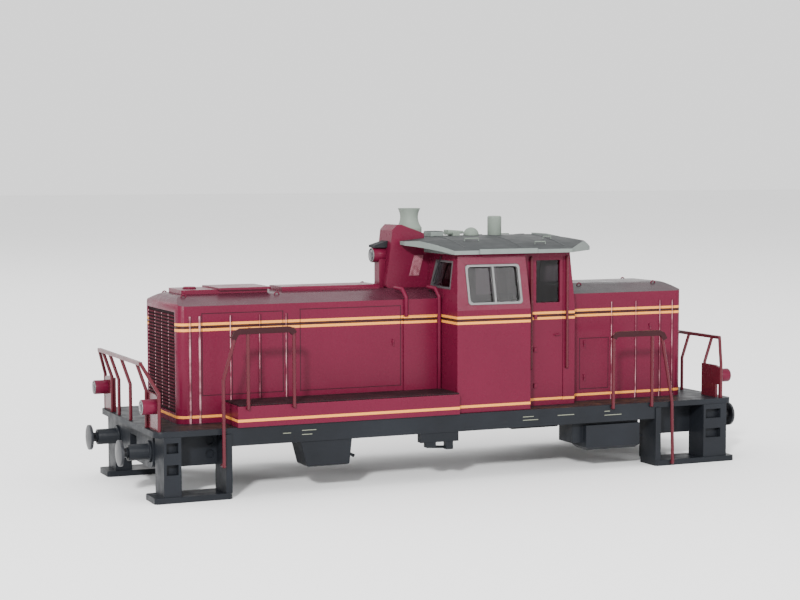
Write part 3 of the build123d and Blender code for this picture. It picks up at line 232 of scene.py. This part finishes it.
def striped_body(name, top_grey=False, ribs=(), seams=()):
    """Burgundy paint with the yellow lining, painted light greying the upward faces where asked, and
    painted highlights and shade along the rib edges.
    """
    graph = paint(name, BURGUNDY, rough=(0.22, 0.36))
    x, z = graph.axis("X"), graph.axis("Z")
    upright = graph.math("LESS_THAN", graph.facing("Z"), 0.5)
    # painted light from above: the upward faces above the lining turn grey, broken into patches
    if top_grey:
        top_sheen = graph.ramp(graph.facing("Z"), ((0.45, 0.0), (0.8, 1.0)))
        height = graph.math("GREATER_THAN", z, UPPER_STRIPE_TOP + 2 * MM)
        sheen_patches = graph.ramp(graph.noise(60.0, 4.0, 0.6), ((0.25, 0.72), (0.7, 1.0)))
        amount = graph.math("MULTIPLY", graph.math("MULTIPLY", top_sheen, height), sheen_patches)
        graph.base = graph.mix(amount, graph.base, top_grey)
    second_top = UPPER_STRIPE_TOP - STRIPE_HEIGHT - STRIPE_SPACE
    dark = graph.band(z, second_top, UPPER_STRIPE_TOP - STRIPE_HEIGHT)
    dark = graph.math("MULTIPLY", dark, upright)
    graph.base = graph.mix(dark, graph.base, STRIPE_GAP)
    upper = graph.band(z, UPPER_STRIPE_TOP - STRIPE_HEIGHT, UPPER_STRIPE_TOP)
    second = graph.band(z, second_top - STRIPE_HEIGHT, second_top)
    lower = graph.band(z, LOWER_STRIPE_TOP - STRIPE_HEIGHT, LOWER_STRIPE_TOP)
    lining = graph.math("ADD", graph.math("ADD", upper, second), lower)
    lining = graph.math("MULTIPLY", lining, upright)
    patchy = graph.ramp(graph.noise(700.0, 3.0), ((0.2, 0.86), (0.4, 1.0)))
    graph.base = graph.mix(graph.math("MULTIPLY", lining, patchy), graph.base, STRIPE_YELLOW)
    # painted highlight along each rib's edge, broader on the corner ribs, and painted shade just behind
    # it
    if ribs:
        below = graph.math("LESS_THAN", z, RIB_TOP)
        side_on = graph.math("GREATER_THAN", graph.facing("Y"), 0.5)
        where = graph.math("MULTIPLY", below, side_on)
        broken = graph.ramp(
            graph.noise(620.0, 3.0, 0.6, stretch=(0.2, 1.0, 0.6)), ((0.40, 0.12), (0.62, 1.0))
        )
        edge_light, edge_dark = 0.0, 0.0
        for place in ribs:
            width = CORNER_RIB_LIGHT if place < CORNER_RIBS_X else RIB_LIGHT
            near = graph.band(x, (place - RIB_LIGHT) * MM, (place - RIB_LIGHT + width) * MM)
            edge_light = graph.math("ADD", edge_light, near)
            beside = graph.band(x, (place + RIB_SHADE[0]) * MM, (place + RIB_SHADE[1]) * MM)
            edge_dark = graph.math("ADD", edge_dark, beside)
        edge_dark = graph.math("MULTIPLY", graph.math("MULTIPLY", edge_dark, where), RIB_SHADE_AMOUNT)
        graph.base = graph.mix(edge_dark, graph.base, SEAM_AND_SHADE_DARK)
        edge_light = graph.math("MULTIPLY", graph.math("MULTIPLY", edge_light, where), broken)
        edge_light = graph.math("MULTIPLY", edge_light, RIB_HIGHLIGHT_AMOUNT)
        graph.base = graph.mix(edge_light, graph.base, RIB_HIGHLIGHT_COLOUR)
    for low_x, high_x, low_z, high_z in seams:
        line = graph.math(
            "MULTIPLY",
            graph.band(x, low_x * MM, high_x * MM),
            graph.band(z, low_z * MM, high_z * MM),
        )
        graph.base = graph.mix(graph.math("MULTIPLY", line, SEAM_AMOUNT), graph.base, SEAM_AND_SHADE_DARK)
    return finish_colour(graph)


def seam_frame(low_x, high_x, low_z, high_z, width=SEAM_WIDTH):
    """The four thin lines round a panel on a hood's side, as x and z ranges."""
    return (
        (low_x, low_x + width, low_z, high_z),
        (high_x - width, high_x, low_z, high_z),
        (low_x, high_x, high_z - width, high_z),
        (low_x, high_x, low_z, low_z + width),
    )


LONG_SEAMS = (*seam_frame(-27.6, -8.6, 16.4, 30.6), *seam_frame(-45.2, -30.6, 16.4, 30.4))
SHORT_SEAMS = seam_frame(27.2, 33.4, 13.9, 23.4)
LONG_RIBS = (-47.3, -45.6, -40.1, -34.9, -30.1)
SHORT_RIBS = (34.0, 39.2, 44.4, 47.1)
# grey of the short hood's top, painted light from above
SHORT_TOP_GREY = (0.014, 0.0135, 0.0155)


def roof_material():
    """Matt grey roof paint with a painted highlight band on the upright edge faces and faint dirt runs.
    """
    graph = paint(
        "roof_paint", ROOF_GREY, rough=(0.5, 0.68), speckle=0.06, grain=0.03 * MM, shine=0.2
    )
    # painted highlight on the roof faces that stand upright
    edge = graph.math("LESS_THAN", graph.facing("Z"), 0.55)
    graph.base = graph.mix(edge, graph.base, ROOF_EDGE_HIGHLIGHT)
    run = graph.ramp(
        graph.noise(260.0, 4.0, 0.6, stretch=(1.0, 0.15, 0.15)), ((0.45, 0.0), (0.8, 0.25))
    )
    graph.base = graph.mix(run, graph.base, (0.022, 0.024, 0.026))
    return finish_colour(graph)


def tread_material():
    """Dark chequer plate, with the raised bars worn back to the red under the paint."""
    graph = paint("walkway_tread", (0.014, 0.0055, 0.0075), rough=(0.45, 0.7), speckle=0.2)
    pitch = 0.55 * MM
    x, y = graph.axis("X"), graph.axis("Y")
    along = graph.math("SINE", graph.math("MULTIPLY", graph.math("ADD", x, y), math.tau / pitch))
    across = graph.math(
        "SINE", graph.math("MULTIPLY", graph.math("SUBTRACT", x, y), math.tau / pitch)
    )
    bars = graph.ramp(graph.math("MAXIMUM", along, across), ((0.75, 0.0), (0.95, 1.0)))
    patchy = graph.ramp(graph.noise(300.0, 3.0), ((0.45, 0.1), (0.7, 0.7)))
    graph.base = graph.mix(graph.math("MULTIPLY", bars, patchy), graph.base, (0.075, 0.014, 0.022))
    graph.bump(bars, 0.08 * MM, 0.8)
    return finish_colour(graph)


def metal(name, colour, rough=0.32):
    """Turned or drawn metal with fine scratches."""
    graph = Graph(name)
    scratch = graph.noise(900.0, 4.0, 0.6, stretch=(0.1, 1.0, 1.0))
    graph.base = graph.ramp(scratch, ((0.3, tuple(c * 0.8 for c in colour)), (0.75, colour)))
    gloss = graph.ramp(scratch, ((0.3, rough * 0.8), (0.8, rough * 1.4)))
    graph.link(gloss, graph.shader.inputs["Roughness"])
    graph.shader.inputs["Metallic"].default_value = 1.0
    graph.bump(scratch, 0.01 * MM, 0.3)
    return finish_colour(graph)


def glazing_material():
    """Clear moulded glazing with faint flow marks."""
    graph = Graph("clear_glazing")
    flow = graph.noise(240.0, 2.0)
    graph.base = graph.ramp(flow, ((0.2, (0.125, 0.105, 0.118)), (0.8, (0.17, 0.15, 0.162))))
    gloss = graph.ramp(flow, ((0.3, 0.03), (0.8, 0.09)))
    graph.link(gloss, graph.shader.inputs["Roughness"])
    graph.shader.inputs["Transmission Weight"].default_value = 1.0
    graph.shader.inputs["IOR"].default_value = 1.25
    graph.bump(flow, 0.02 * MM, 0.15)
    return finish_colour(graph)


def mesh_material():
    """Fine woven mesh: a checker of plain squares and wire squares, the wires turning pale in patches as
    a painted sheen.
    """
    graph = paint("woven_mesh", (0.15, 0.035, 0.05), rough=(0.35, 0.6), speckle=0.3)
    weave = graph.tree.nodes.new("ShaderNodeTexChecker")
    graph.link(graph.coords, weave.inputs["Vector"])
    weave.inputs["Scale"].default_value = 5200.0
    # the wire squares go from dark to pale in patches: a painted sheen on the wires
    patchy = graph.ramp(graph.noise(1500.0, 3.0, 0.7), ((0.35, 0.1), (0.62, 1.0)))
    pale = graph.mix(patchy, (0.08, 0.012, 0.02), (0.36, 0.19, 0.22))
    graph.base = graph.mix(weave.outputs["Fac"], graph.base, pale)
    graph.bump(weave.outputs["Fac"], 0.06 * MM, 0.8)
    return finish_colour(graph)


GRILLE_HALF_WIDTH = 8.2 * MM
GRILLE_MULLION = 0.5 * MM
GRILLE_COLUMNS = 4
SLAT_FACE_DEPTH = 0.12 * MM
SLAT_LIT_FROM, SLAT_LIT_TO = 0.62 * MM, 0.24 * MM


def grille_material():
    """Radiator louvres: painted shade between the slats, with a painted highlight on each slat's outer
    end.
    """
    graph = paint("radiator_louvres", (0.045, 0.005, 0.011), rough=(0.55, 0.7), shine=0.03)
    x, y = graph.axis("X"), graph.axis("Y")
    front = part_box("radiator_grille")[0][0]
    # painted shade: dark colour behind the slat faces
    slat_gap_shade = graph.math("GREATER_THAN", x, front + SLAT_FACE_DEPTH)
    graph.base = graph.mix(slat_gap_shade, graph.base, (0.010, 0.0025, 0.004))
    pitch = (2 * GRILLE_HALF_WIDTH - GRILLE_MULLION) / GRILLE_COLUMNS
    from_edge = graph.math("MODULO", graph.math("ADD", y, pitch * GRILLE_COLUMNS), pitch)
    # painted highlight on the slat ends at each column's edge, broken into patches
    lit = graph.band(from_edge, pitch - SLAT_LIT_FROM, pitch - SLAT_LIT_TO)
    lit = graph.math("MULTIPLY", lit, graph.math("SUBTRACT", 1.0, slat_gap_shade))
    patchy = graph.ramp(graph.noise(900.0, 2.0), ((0.3, 0.4), (0.6, 1.0)))
    graph.base = graph.mix(graph.math("MULTIPLY", lit, patchy), graph.base, (0.36, 0.2, 0.22))
    return finish_colour(graph)


MATERIALS = {
    "burgundy": striped_body("burgundy_paint"),
    # the long hood's top grey is painted light from above
    "long_hood": striped_body("long_hood_paint", (0.045, 0.012, 0.02), LONG_RIBS, LONG_SEAMS),
    "short_hood": striped_body("short_hood_paint", SHORT_TOP_GREY, SHORT_RIBS, SHORT_SEAMS),
    "plain_burgundy": finish_colour(paint("plain_burgundy", BURGUNDY, rough=(0.3, 0.45))),
    "handrail": finish_colour(
        paint("handrail_paint", (0.062, 0.0075, 0.013), rough=(0.2, 0.32), shine=0.22)
    ),
    "roof": roof_material(),
    "pale": finish_colour(paint("pale_grey_paint", PALE_GREY, rough=(0.45, 0.6), speckle=0.1)),
    "tread": tread_material(),
    "frame": finish_colour(
        paint("frame_black", FRAME_BLACK, rough=(0.36, 0.56), speckle=0.25, grain=0.04 * MM)
    ),
    "silver": finish_colour(
        paint("silver_frame", (0.125, 0.125, 0.125), rough=(0.28, 0.42), metallic=0.3)
    ),
    "rubber": finish_colour(paint("dark_gasket", (0.012, 0.012, 0.014), rough=(0.5, 0.7))),
    "grey_gasket": finish_colour(paint("grey_gasket", (0.06, 0.056, 0.058), rough=(0.35, 0.5))),
    "interior": finish_colour(paint("interior_grey", (0.035, 0.022, 0.024), rough=(0.5, 0.7))),
    "board": finish_colour(paint("circuit_board", (0.02, 0.10, 0.045), rough=(0.3, 0.45))),
    "steel": metal("plain_steel", (0.55, 0.55, 0.56)),
    "dark_steel": finish_colour(
        paint("blackened_steel", (0.011, 0.012, 0.015), rough=(0.3, 0.45), shine=0.3)
    ),
    "roof_plain": finish_colour(paint("roof_plain", (0.05, 0.053, 0.054), rough=(0.5, 0.65))),
    # painted shade: the handrail paint darkened for the flat top bars
    "shaded_handrail_top": finish_colour(
        paint("handrail_top_shade_paint", (0.022, 0.004, 0.006), rough=(0.25, 0.4))
    ),
    "dash_paint": finish_colour(paint("dash_paint", (0.19, 0.2, 0.15), rough=(0.5, 0.7))),
    "mesh": mesh_material(),
    "grille": grille_material(),
    "glass": glazing_material(),
    "lamp_glass": finish_colour(
        paint(
            "lamp_lens",
            (0.035, 0.035, 0.038),
            rough=(0.05, 0.12),
            shine=0.5,
            speckle=0.04,
            grain=0.01 * MM,
        )
    ),
}

NODE_MATERIALS = {
    "long_hood": "long_hood",
    "short_hood": "short_hood",
    "cab_roof": "roof",
    "roof_hatch": "roof",
    "roof_box": "roof",
    "rain_strips": "roof",
    "chimney": "pale",
    "roof_vent": "pale",
    "roof_bell": "pale",
    "roof_horn": "pale",
    "side_window_frames": "silver",
    "front_window_gaskets": "grey_gasket",
    "rear_window_gaskets": "grey_gasket",
    "top_lamp_shade": "rubber",
    "dome_grilles": "mesh",
    "front_cab_glazing": "glass",
    "rear_cab_glazing": "glass",
    "lamp_lenses": "lamp_glass",
    "buffer_springs": "steel",
    "body_screws": "steel",
    "walkway_treads": "tread",
    "cab_floor": "interior",
    "driver_desk": "interior",
    "driver_seats": "interior",
    "light_boards": "board",
    "front_handrails": "handrail",
    "rear_handrails": "handrail",
    "front_railing": "handrail",
    "rear_railing": "handrail",
    "door_grab_rails": "handrail",
    "hood_pipes": "plain_burgundy",
    "lamp_housings": "plain_burgundy",
    "radiator_grille": "grille",
}
SLOT_MATERIALS = {"burgundy_body": "burgundy", "frame_black": "frame"}

slot_of = {row["node"]: row["material_slot"] for row in frame["record"]["subparts"]}
for name, piece in nodes.items():
    key = NODE_MATERIALS.get(name) or SLOT_MATERIALS[slot_of[name]]
    if name.endswith("buffer_plunger"):
        key = "dark_steel"
    piece.data.materials.clear()
    piece.data.materials.append(MATERIALS[key])

# ---------------------------------------------------------------- softened edges
SOFT_EDGE = 0.07 * MM
SOFT_ANGLE = math.radians(40)
WELD_DISTANCE = 0.001 * MM
SHARP_NODES = ("front_cab_glazing", "rear_cab_glazing", "buffer_springs", "lamp_lenses")
for name, piece in nodes.items():
    if name in SHARP_NODES:
        continue
    weld = piece.modifiers.new("weld", "WELD")
    weld.merge_threshold = WELD_DISTANCE
    bevel = piece.modifiers.new("soft_edge", "BEVEL")
    bevel.width = SOFT_EDGE
    bevel.segments = 2
    bevel.limit_method = "ANGLE"
    bevel.angle_limit = SOFT_ANGLE
    bevel.harden_normals = True


# ---------------------------------------------------------------- fine detail
def new_piece(name, mesh, material, body="locomotive", bevel=0.0):
    """Turns a bmesh into an object that rides on a body."""
    bmesh.ops.recalc_face_normals(mesh, faces=mesh.faces)
    data = bpy.data.meshes.new(name)
    mesh.to_mesh(data)
    mesh.free()
    data.materials.append(MATERIALS[material])
    piece = bpy.data.objects.new(name, data)
    bpy.context.scene.collection.objects.link(piece)
    if bevel:
        soft = piece.modifiers.new("soft_edge", "BEVEL")
        soft.width = bevel
        soft.segments = 2
        soft.limit_method = "ANGLE"
        soft.angle_limit = SOFT_ANGLE
    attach(piece, body)


def loops_to_solid(mesh, loops):
    """Skins a row of matching vertex loops and closes both ends."""
    rings = [[mesh.verts.new(point) for point in loop] for loop in loops]
    for first, second in zip(rings, rings[1:]):
        for i in range(len(first)):
            j = (i + 1) % len(first)
            mesh.faces.new((first[i], first[j], second[j], second[i]))
    mesh.faces.new(rings[0][::-1])
    mesh.faces.new(rings[-1])


OFF_AXIS = Vector((0.13, 0.31, 0.94))  # along none of the wires


def wire(mesh, points, radius, sides=10):
    """A round wire along a bent path given in millimetres."""
    path = [Vector(point) * MM for point in points]
    loops = []
    for i, point in enumerate(path):
        ahead = (path[min(i + 1, len(path) - 1)] - path[max(i - 1, 0)]).normalized()
        across = ahead.cross(OFF_AXIS).normalized()
        upward = ahead.cross(across)
        loops.append(
            [
                point
                + (across * math.cos(math.tau * k / sides) + upward * math.sin(math.tau * k / sides))
                * radius
                * MM
                for k in range(sides)
            ]
        )
    loops_to_solid(mesh, loops)


def arc(centre, radius, start, end, steps=5):
    """Points round an arc in the x and z directions, with angles in degrees."""
    angles = [math.radians(start + (end - start) * k / steps) for k in range(steps + 1)]
    return [(centre[0] + radius * math.cos(a), centre[1] + radius * math.sin(a)) for a in angles]


def ribbon(mesh, path, half_height, y_near, y_far):
    """A flat strip standing on edge along an (x, z) path, between two y places."""
    loops = []
    for i, (x, z) in enumerate(path):
        x0, z0 = path[max(i - 1, 0)]
        x1, z1 = path[min(i + 1, len(path) - 1)]
        along = Vector((x1 - x0, z1 - z0)).normalized()
        dx, dz = -along.y * half_height, along.x * half_height
        loops.append(
            [
                Vector((x + dx, y_near, z + dz)) * MM,
                Vector((x - dx, y_near, z - dz)) * MM,
                Vector((x - dx, y_far, z - dz)) * MM,
                Vector((x + dx, y_far, z + dz)) * MM,
            ]
        )
    loops_to_solid(mesh, loops)


BEZEL_DEPTH = 0.12


def ring(mesh, centre, radius, thickness, axis_sign, sides=28):
    """A flat-faced bezel ring round an x axis, standing out from the centre."""
    inside = radius - thickness
    profile = ((inside, 0.0), (inside, BEZEL_DEPTH), (radius, BEZEL_DEPTH), (radius, 0.0))
    rings = []
    for k in range(sides):
        angle = math.tau * k / sides
        rings.append(
            [
                mesh.verts.new(
                    (Vector(centre) + Vector((axis_sign * dx, r * math.cos(angle), r * math.sin(angle))))
                    * MM
                )
                for r, dx in profile
            ]
        )
    for k in range(sides):
        first, second = rings[k], rings[(k + 1) % sides]
        for i in range(4):
            j = (i + 1) % 4
            mesh.faces.new((first[i], first[j], second[j], second[i]))


def cap(mesh, centre, radius, bulge, axis_sign, rows=4, sides=24):
    """A shallow lens bulging along x from the centre."""
    loops = []
    for row in range(rows):
        angle = 0.5 * math.pi * row / rows
        r, dx = radius * math.cos(angle), bulge * math.sin(angle)
        loops.append(
            [
                (
                    Vector(centre)
                    + Vector(
                        (
                            axis_sign * dx,
                            r * math.cos(math.tau * k / sides),
                            r * math.sin(math.tau * k / sides),
                        )
                    )
                )
                * MM
                for k in range(sides)
            ]
        )
    loops_to_solid(mesh, loops)


PLATE_DRAFT = 0.06


def plate(mesh, low, high):
    """A thin rectangular plate with its outer face drawn in a little, from corner to corner."""
    (x0, y0, z0), (x1, y1, z1) = low, high
    inner = [(x0, z0), (x1, z0), (x1, z1), (x0, z1)]
    x0, x1 = x0 + PLATE_DRAFT, x1 - PLATE_DRAFT
    z0, z1 = z0 + PLATE_DRAFT, z1 - PLATE_DRAFT
    outer = [(x0, z0), (x1, z0), (x1, z1), (x0, z1)]
    loops_to_solid(
        mesh,
        [[Vector((x, y0, z)) * MM for x, z in inner], [Vector((x, y1, z)) * MM for x, z in outer]],
    )


ROOF_CROWN_Z = 42.3
ROOF_RISE = 42.3 - 40.2
ROOF_HALF_WIDTH = 15.7
ROOF_RADIUS = (ROOF_HALF_WIDTH**2 + ROOF_RISE**2) / (2 * ROOF_RISE)


def on_roof(x, y, lift=0.0):
    """A point on the roof's curved top, in millimetres."""
    return (x, y, ROOF_CROWN_Z - ROOF_RADIUS + math.sqrt(ROOF_RADIUS**2 - y * y) + lift)


# flat bars laid along the tops of the walkway handrails, coloured dark as painted shade
FLAT_HALF_HEIGHT = 0.5
FLAT_HALF_DEPTH = 0.33
FLAT_BEND_RADIUS = 1.0
FLAT_BEND_DEGREES = 75
FLAT_FOOT = ((0.7, -1.3), (0.2, -0.35))
FLAT_SHOULDER = (0.5, -0.05)
for end_name, corner_x, rail_y, top_z, reach in (
    ("front", -41.8, 18.3, 27.9, 10.0),
    ("rear", 39.8, 17.9, 24.6, -10.0),
):
    strips = bmesh.new()
    turn = math.copysign(1.0, reach)
    bend_centre = (corner_x + reach - turn * FLAT_BEND_RADIUS, top_z - FLAT_BEND_RADIUS)
    path = [(corner_x - turn * dx, top_z + dz) for dx, dz in FLAT_FOOT]
    path.append((corner_x + turn * FLAT_SHOULDER[0], top_z + FLAT_SHOULDER[1]))
    path += arc(bend_centre, FLAT_BEND_RADIUS, 90, 90 - FLAT_BEND_DEGREES * turn)
    for side in (-1, 1):
        y_near, y_far = side * (rail_y - FLAT_HALF_DEPTH), side * (rail_y + FLAT_HALF_DEPTH)
        ribbon(strips, path, FLAT_HALF_HEIGHT, y_near, y_far)
    new_piece(f"{end_name}_handrail_flats", strips, "shaded_handrail_top", bevel=0.06 * MM)

# bezels and bulging lenses of the six lamps
BEAM_LAMP_RADIUS, CAB_LAMP_RADIUS = 1.25, 1.35
BEAM_LAMP_Y, BEAM_LAMP_Z = 15.3, 15.8
BEZEL_INSET, BEZEL_WIDTH = 0.06, 0.22
BULB_INSET, BULB_BULGE, BULB_LIFT = 0.34, 0.3, 0.01
lamps = [
    (x, y, BEAM_LAMP_Z, BEAM_LAMP_RADIUS, sign)
    for x, sign in ((-57.3, -1), (55.9, 1))
    for y in (-BEAM_LAMP_Y, BEAM_LAMP_Y)
]
lamps += [(-10.0, 0.0, 39.05, CAB_LAMP_RADIUS, -1), (28.0, 0.0, 37.7, CAB_LAMP_RADIUS, 1)]
bezels, bulbs = bmesh.new(), bmesh.new()
for x, y, z, radius, sign in lamps:
    ring(bezels, (x, y, z), radius - BEZEL_INSET, BEZEL_WIDTH, sign)
    cap(bulbs, (x + sign * BULB_LIFT, y, z), radius - BULB_INSET, BULB_BULGE, sign)
new_piece("lamp_bezels", bezels, "silver", bevel=0.03 * MM)
new_piece("lamp_bulbs", bulbs, "lamp_glass")

# wire grips and raised seams on the roof
ROOF_GRIPS = ((4.2, 7.0, 9.0), (16.5, 18.6, 12.6), (20.4, 22.0, 8.4))
GRIP_LIFT, GRIP_RADIUS = 0.45, 0.11
ROOF_SEAM_X = (1.9, 12.9, 21.7)
SEAM_FIRST_Y, SEAM_STEP, SEAM_POINTS = 1.5, 1.55, 9
SEAM_LIFT, SEAM_RADIUS = 0.02, 0.09
grips, roof_seams = bmesh.new(), bmesh.new()
for side in (-1, 1):
    for x0, x1, grip_y in ROOF_GRIPS:
        y = side * grip_y
        legs = (on_roof(x0, y), on_roof(x0, y, GRIP_LIFT), on_roof(x1, y, GRIP_LIFT), on_roof(x1, y))
        wire(grips, legs, GRIP_RADIUS)
    for x in ROOF_SEAM_X:
        across = [SEAM_FIRST_Y + k * SEAM_STEP for k in range(SEAM_POINTS)]
        wire(roof_seams, [on_roof(x, side * y, SEAM_LIFT) for y in across], SEAM_RADIUS, 8)
new_piece("roof_grips", grips, "pale")
new_piece("roof_seams", roof_seams, "roof_plain")

# wipers on the end windows, each from its pivot down over the leaning glass
CAB_FOOT_Z, CAB_LEAN, CAB_LEAN_HEIGHT = 29.8, 1.1, 9.7
WIPER_POINTS = ((38.9, 0.0), (38.0, 0.25), (34.4, 0.2))
WIPER_RADIUS = 0.1
wipers = bmesh.new()
for side in (-1, 1):
    for face_x, outward, spread in ((-1.0, -1, (8.2, 8.0, 6.2)), (24.7, 1, (6.4, 6.2, 4.9))):
        arm = []
        for (z, stand_off), y in zip(WIPER_POINTS, spread):
            lean = CAB_LEAN * (z - CAB_FOOT_Z) / CAB_LEAN_HEIGHT
            arm.append((face_x + outward * (stand_off - lean), side * y, z))
        wire(wipers, arm, WIPER_RADIUS)
new_piece("window_wipers", wipers, "rubber")

# door handles, hinges and hood catches
DOOR_Y, HANDLE_REACH, HANDLE_RADIUS = 12.75, 0.35, 0.13
HINGE_X, HINGE_Z, HINGE_HEIGHT = (16.2, 16.9), (15.0, 21.5, 27.4), 0.9
HINGE_Y = (12.7, 13.0)
CATCHES = ((28.0, 22.2), (28.0, 16.0), (42.0, 25.0), (-29.0, 24.0), (-10.4, 24.0), (-37.0, 27.0))
CATCH_LENGTH, CATCH_HEIGHT, CATCH_Y = 0.5, 0.7, (9.85, 10.12)
LEVER_Y, LEVER_DROP, LEVER_RADIUS = (10.1, 10.22), 0.5, 0.09
fittings = bmesh.new()
for side in (-1, 1):
    y_face, y_out = side * DOOR_Y, side * DOOR_Y + side * HANDLE_REACH
    wire(fittings, ((21.4, y_face, 24.6), (21.4, y_out, 24.6), (20.4, y_out, 24.5)), HANDLE_RADIUS)
    for z in HINGE_Z:
        low = (HINGE_X[0], side * HINGE_Y[0], z)
        plate(fittings, low, (HINGE_X[1], side * HINGE_Y[1], z + HINGE_HEIGHT))
    for x, z in CATCHES:
        high = (x + CATCH_LENGTH, side * CATCH_Y[1], z + CATCH_HEIGHT)
        plate(fittings, (x, side * CATCH_Y[0], z), high)
        middle_x = x + CATCH_LENGTH / 2
        lever = ((middle_x, side * LEVER_Y[0], z), (middle_x, side * LEVER_Y[1], z - LEVER_DROP))
        wire(fittings, lever, LEVER_RADIUS, 8)
new_piece("door_and_hood_fittings", fittings, "plain_burgundy", bevel=0.03 * MM)

# lifting eyes on the hood tops
EYE_X, EYE_Y, EYE_Z = (-47.0, -30.2, 29.5, 45.5), 5.6, 32.75
EYE_HALF_LENGTH, EYE_HEIGHT, EYE_RADIUS = 0.45, 0.55, 0.12
eyes = bmesh.new()
for x in EYE_X:
    for side in (-1, 1):
        loop = []
        for k in range(7):
            angle = math.pi * k / 6
            loop_x = x + EYE_HALF_LENGTH * math.cos(angle)
            loop.append((loop_x, side * EYE_Y, EYE_Z + EYE_HEIGHT * math.sin(angle)))
        wire(eyes, loop, EYE_RADIUS, 8)
new_piece("lifting_eyes", eyes, "plain_burgundy")

# small plain dashes on the sill, as (x, z, length)
SILL_Y, DASH_SINK, DASH_RELIEF, DASH_HEIGHT = 17.5, 0.02, 0.03, 0.17
DASHES = (
    (-33.6, 10.3, 1.5),
    (-30.2, 10.6, 2.6),
    (-30.2, 9.9, 1.9),
    (11.6, 10.5, 2.2),
    (11.6, 9.9, 3.1),
    (18.6, 10.4, 3.4),
    (28.2, 10.6, 1.2),
    (28.2, 9.9, 3.6),
)
dashes = bmesh.new()
for side in (-1, 1):
    near_y, far_y = side * SILL_Y - side * DASH_SINK, side * SILL_Y + side * DASH_RELIEF
    for x, z, length in DASHES:
        plate(dashes, (x, near_y, z), (x + length, far_y, z + DASH_HEIGHT))
new_piece("sill_dashes", dashes, "dash_paint")

# pipe runs, brake linkage and pipe drops under the deck
PIPE_X, PIPE_Y, PIPE_Z, PIPE_RADIUS = (-41.0, -20.0, 20.0, 37.0), 15.6, 9.4, 0.35
LINK_PATH = ((-6.1, 16.6, 6.3), (-6.1, 15.4, 6.1), (-2.6, 15.4, 5.9), (-2.6, 16.6, 5.9))
LINK_RADIUS = 0.25
DROP_X, DROP_Y, DROP_PATH = (-20.8, 36.6), 14.6, ((0.0, 9.2), (0.0, 6.0), (1.2, 5.3))
DROP_RADIUS = 0.3
rigging = bmesh.new()
for side in (-1, 1):
    wire(rigging, [(x, side * PIPE_Y, PIPE_Z) for x in PIPE_X], PIPE_RADIUS)
    wire(rigging, [(x, side * y, z) for x, y, z in LINK_PATH], LINK_RADIUS)
    for x in DROP_X:
        wire(rigging, [(x + dx, side * DROP_Y, z) for dx, z in DROP_PATH], DROP_RADIUS)
new_piece("under_rigging", rigging, "frame")


# ---------------------------------------------------------------- studio
FLOOR_SIZE = 8.0
FLOOR_WHITE = (0.92, 0.92, 0.92)
WORLD_STRENGTH = 1.45


def stage_plane(name, size, colour):
    """A plain level stage surface with a faint mottle."""
    graph = Graph(name)
    tone = graph.noise(3.0, 2.0)
    graph.base = graph.ramp(tone, ((0.2, tuple(c * 0.985 for c in colour)), (0.8, colour)))
    graph.shader.inputs["Roughness"].default_value = 0.9
    bpy.ops.mesh.primitive_plane_add(size=size, location=(0, 0, 0))
    surface = bpy.context.object
    surface.name = name
    surface.data.materials.append(finish_colour(graph))


stage_plane("floor", FLOOR_SIZE, FLOOR_WHITE)

world = bpy.data.worlds.new("studio")
bpy.context.scene.world = world
world.use_nodes = True
backdrop = world.node_tree.nodes["Background"]
backdrop.inputs["Color"].default_value = (1.0, 1.0, 1.0, 1.0)
backdrop.inputs["Strength"].default_value = WORLD_STRENGTH


def softbox(name, place, target, size, power):
    """A white square area light aimed at a point."""
    data = bpy.data.lights.new(name, "AREA")
    data.size = size
    data.energy = power
    light = bpy.data.objects.new(name, data)
    light.location = place
    aim = Vector(target) - Vector(place)
    light.rotation_mode = "QUATERNION"
    light.rotation_quaternion = aim.to_track_quat("-Z", "Y")
    bpy.context.scene.collection.objects.link(light)


MIDDLE = (0.0, 0.0, 0.022)
softbox("key", (-0.42, -0.62, 0.36), MIDDLE, size=0.07, power=10.0)
softbox("fill", (0.35, -0.7, 0.25), MIDDLE, size=0.3, power=2.5)
softbox("top", (0.0, 0.1, 0.8), MIDDLE, size=0.9, power=3.0)
softbox("rim", (-0.5, 0.55, 0.4), MIDDLE, size=0.5, power=2.5)

bpy.context.view_layer.update()
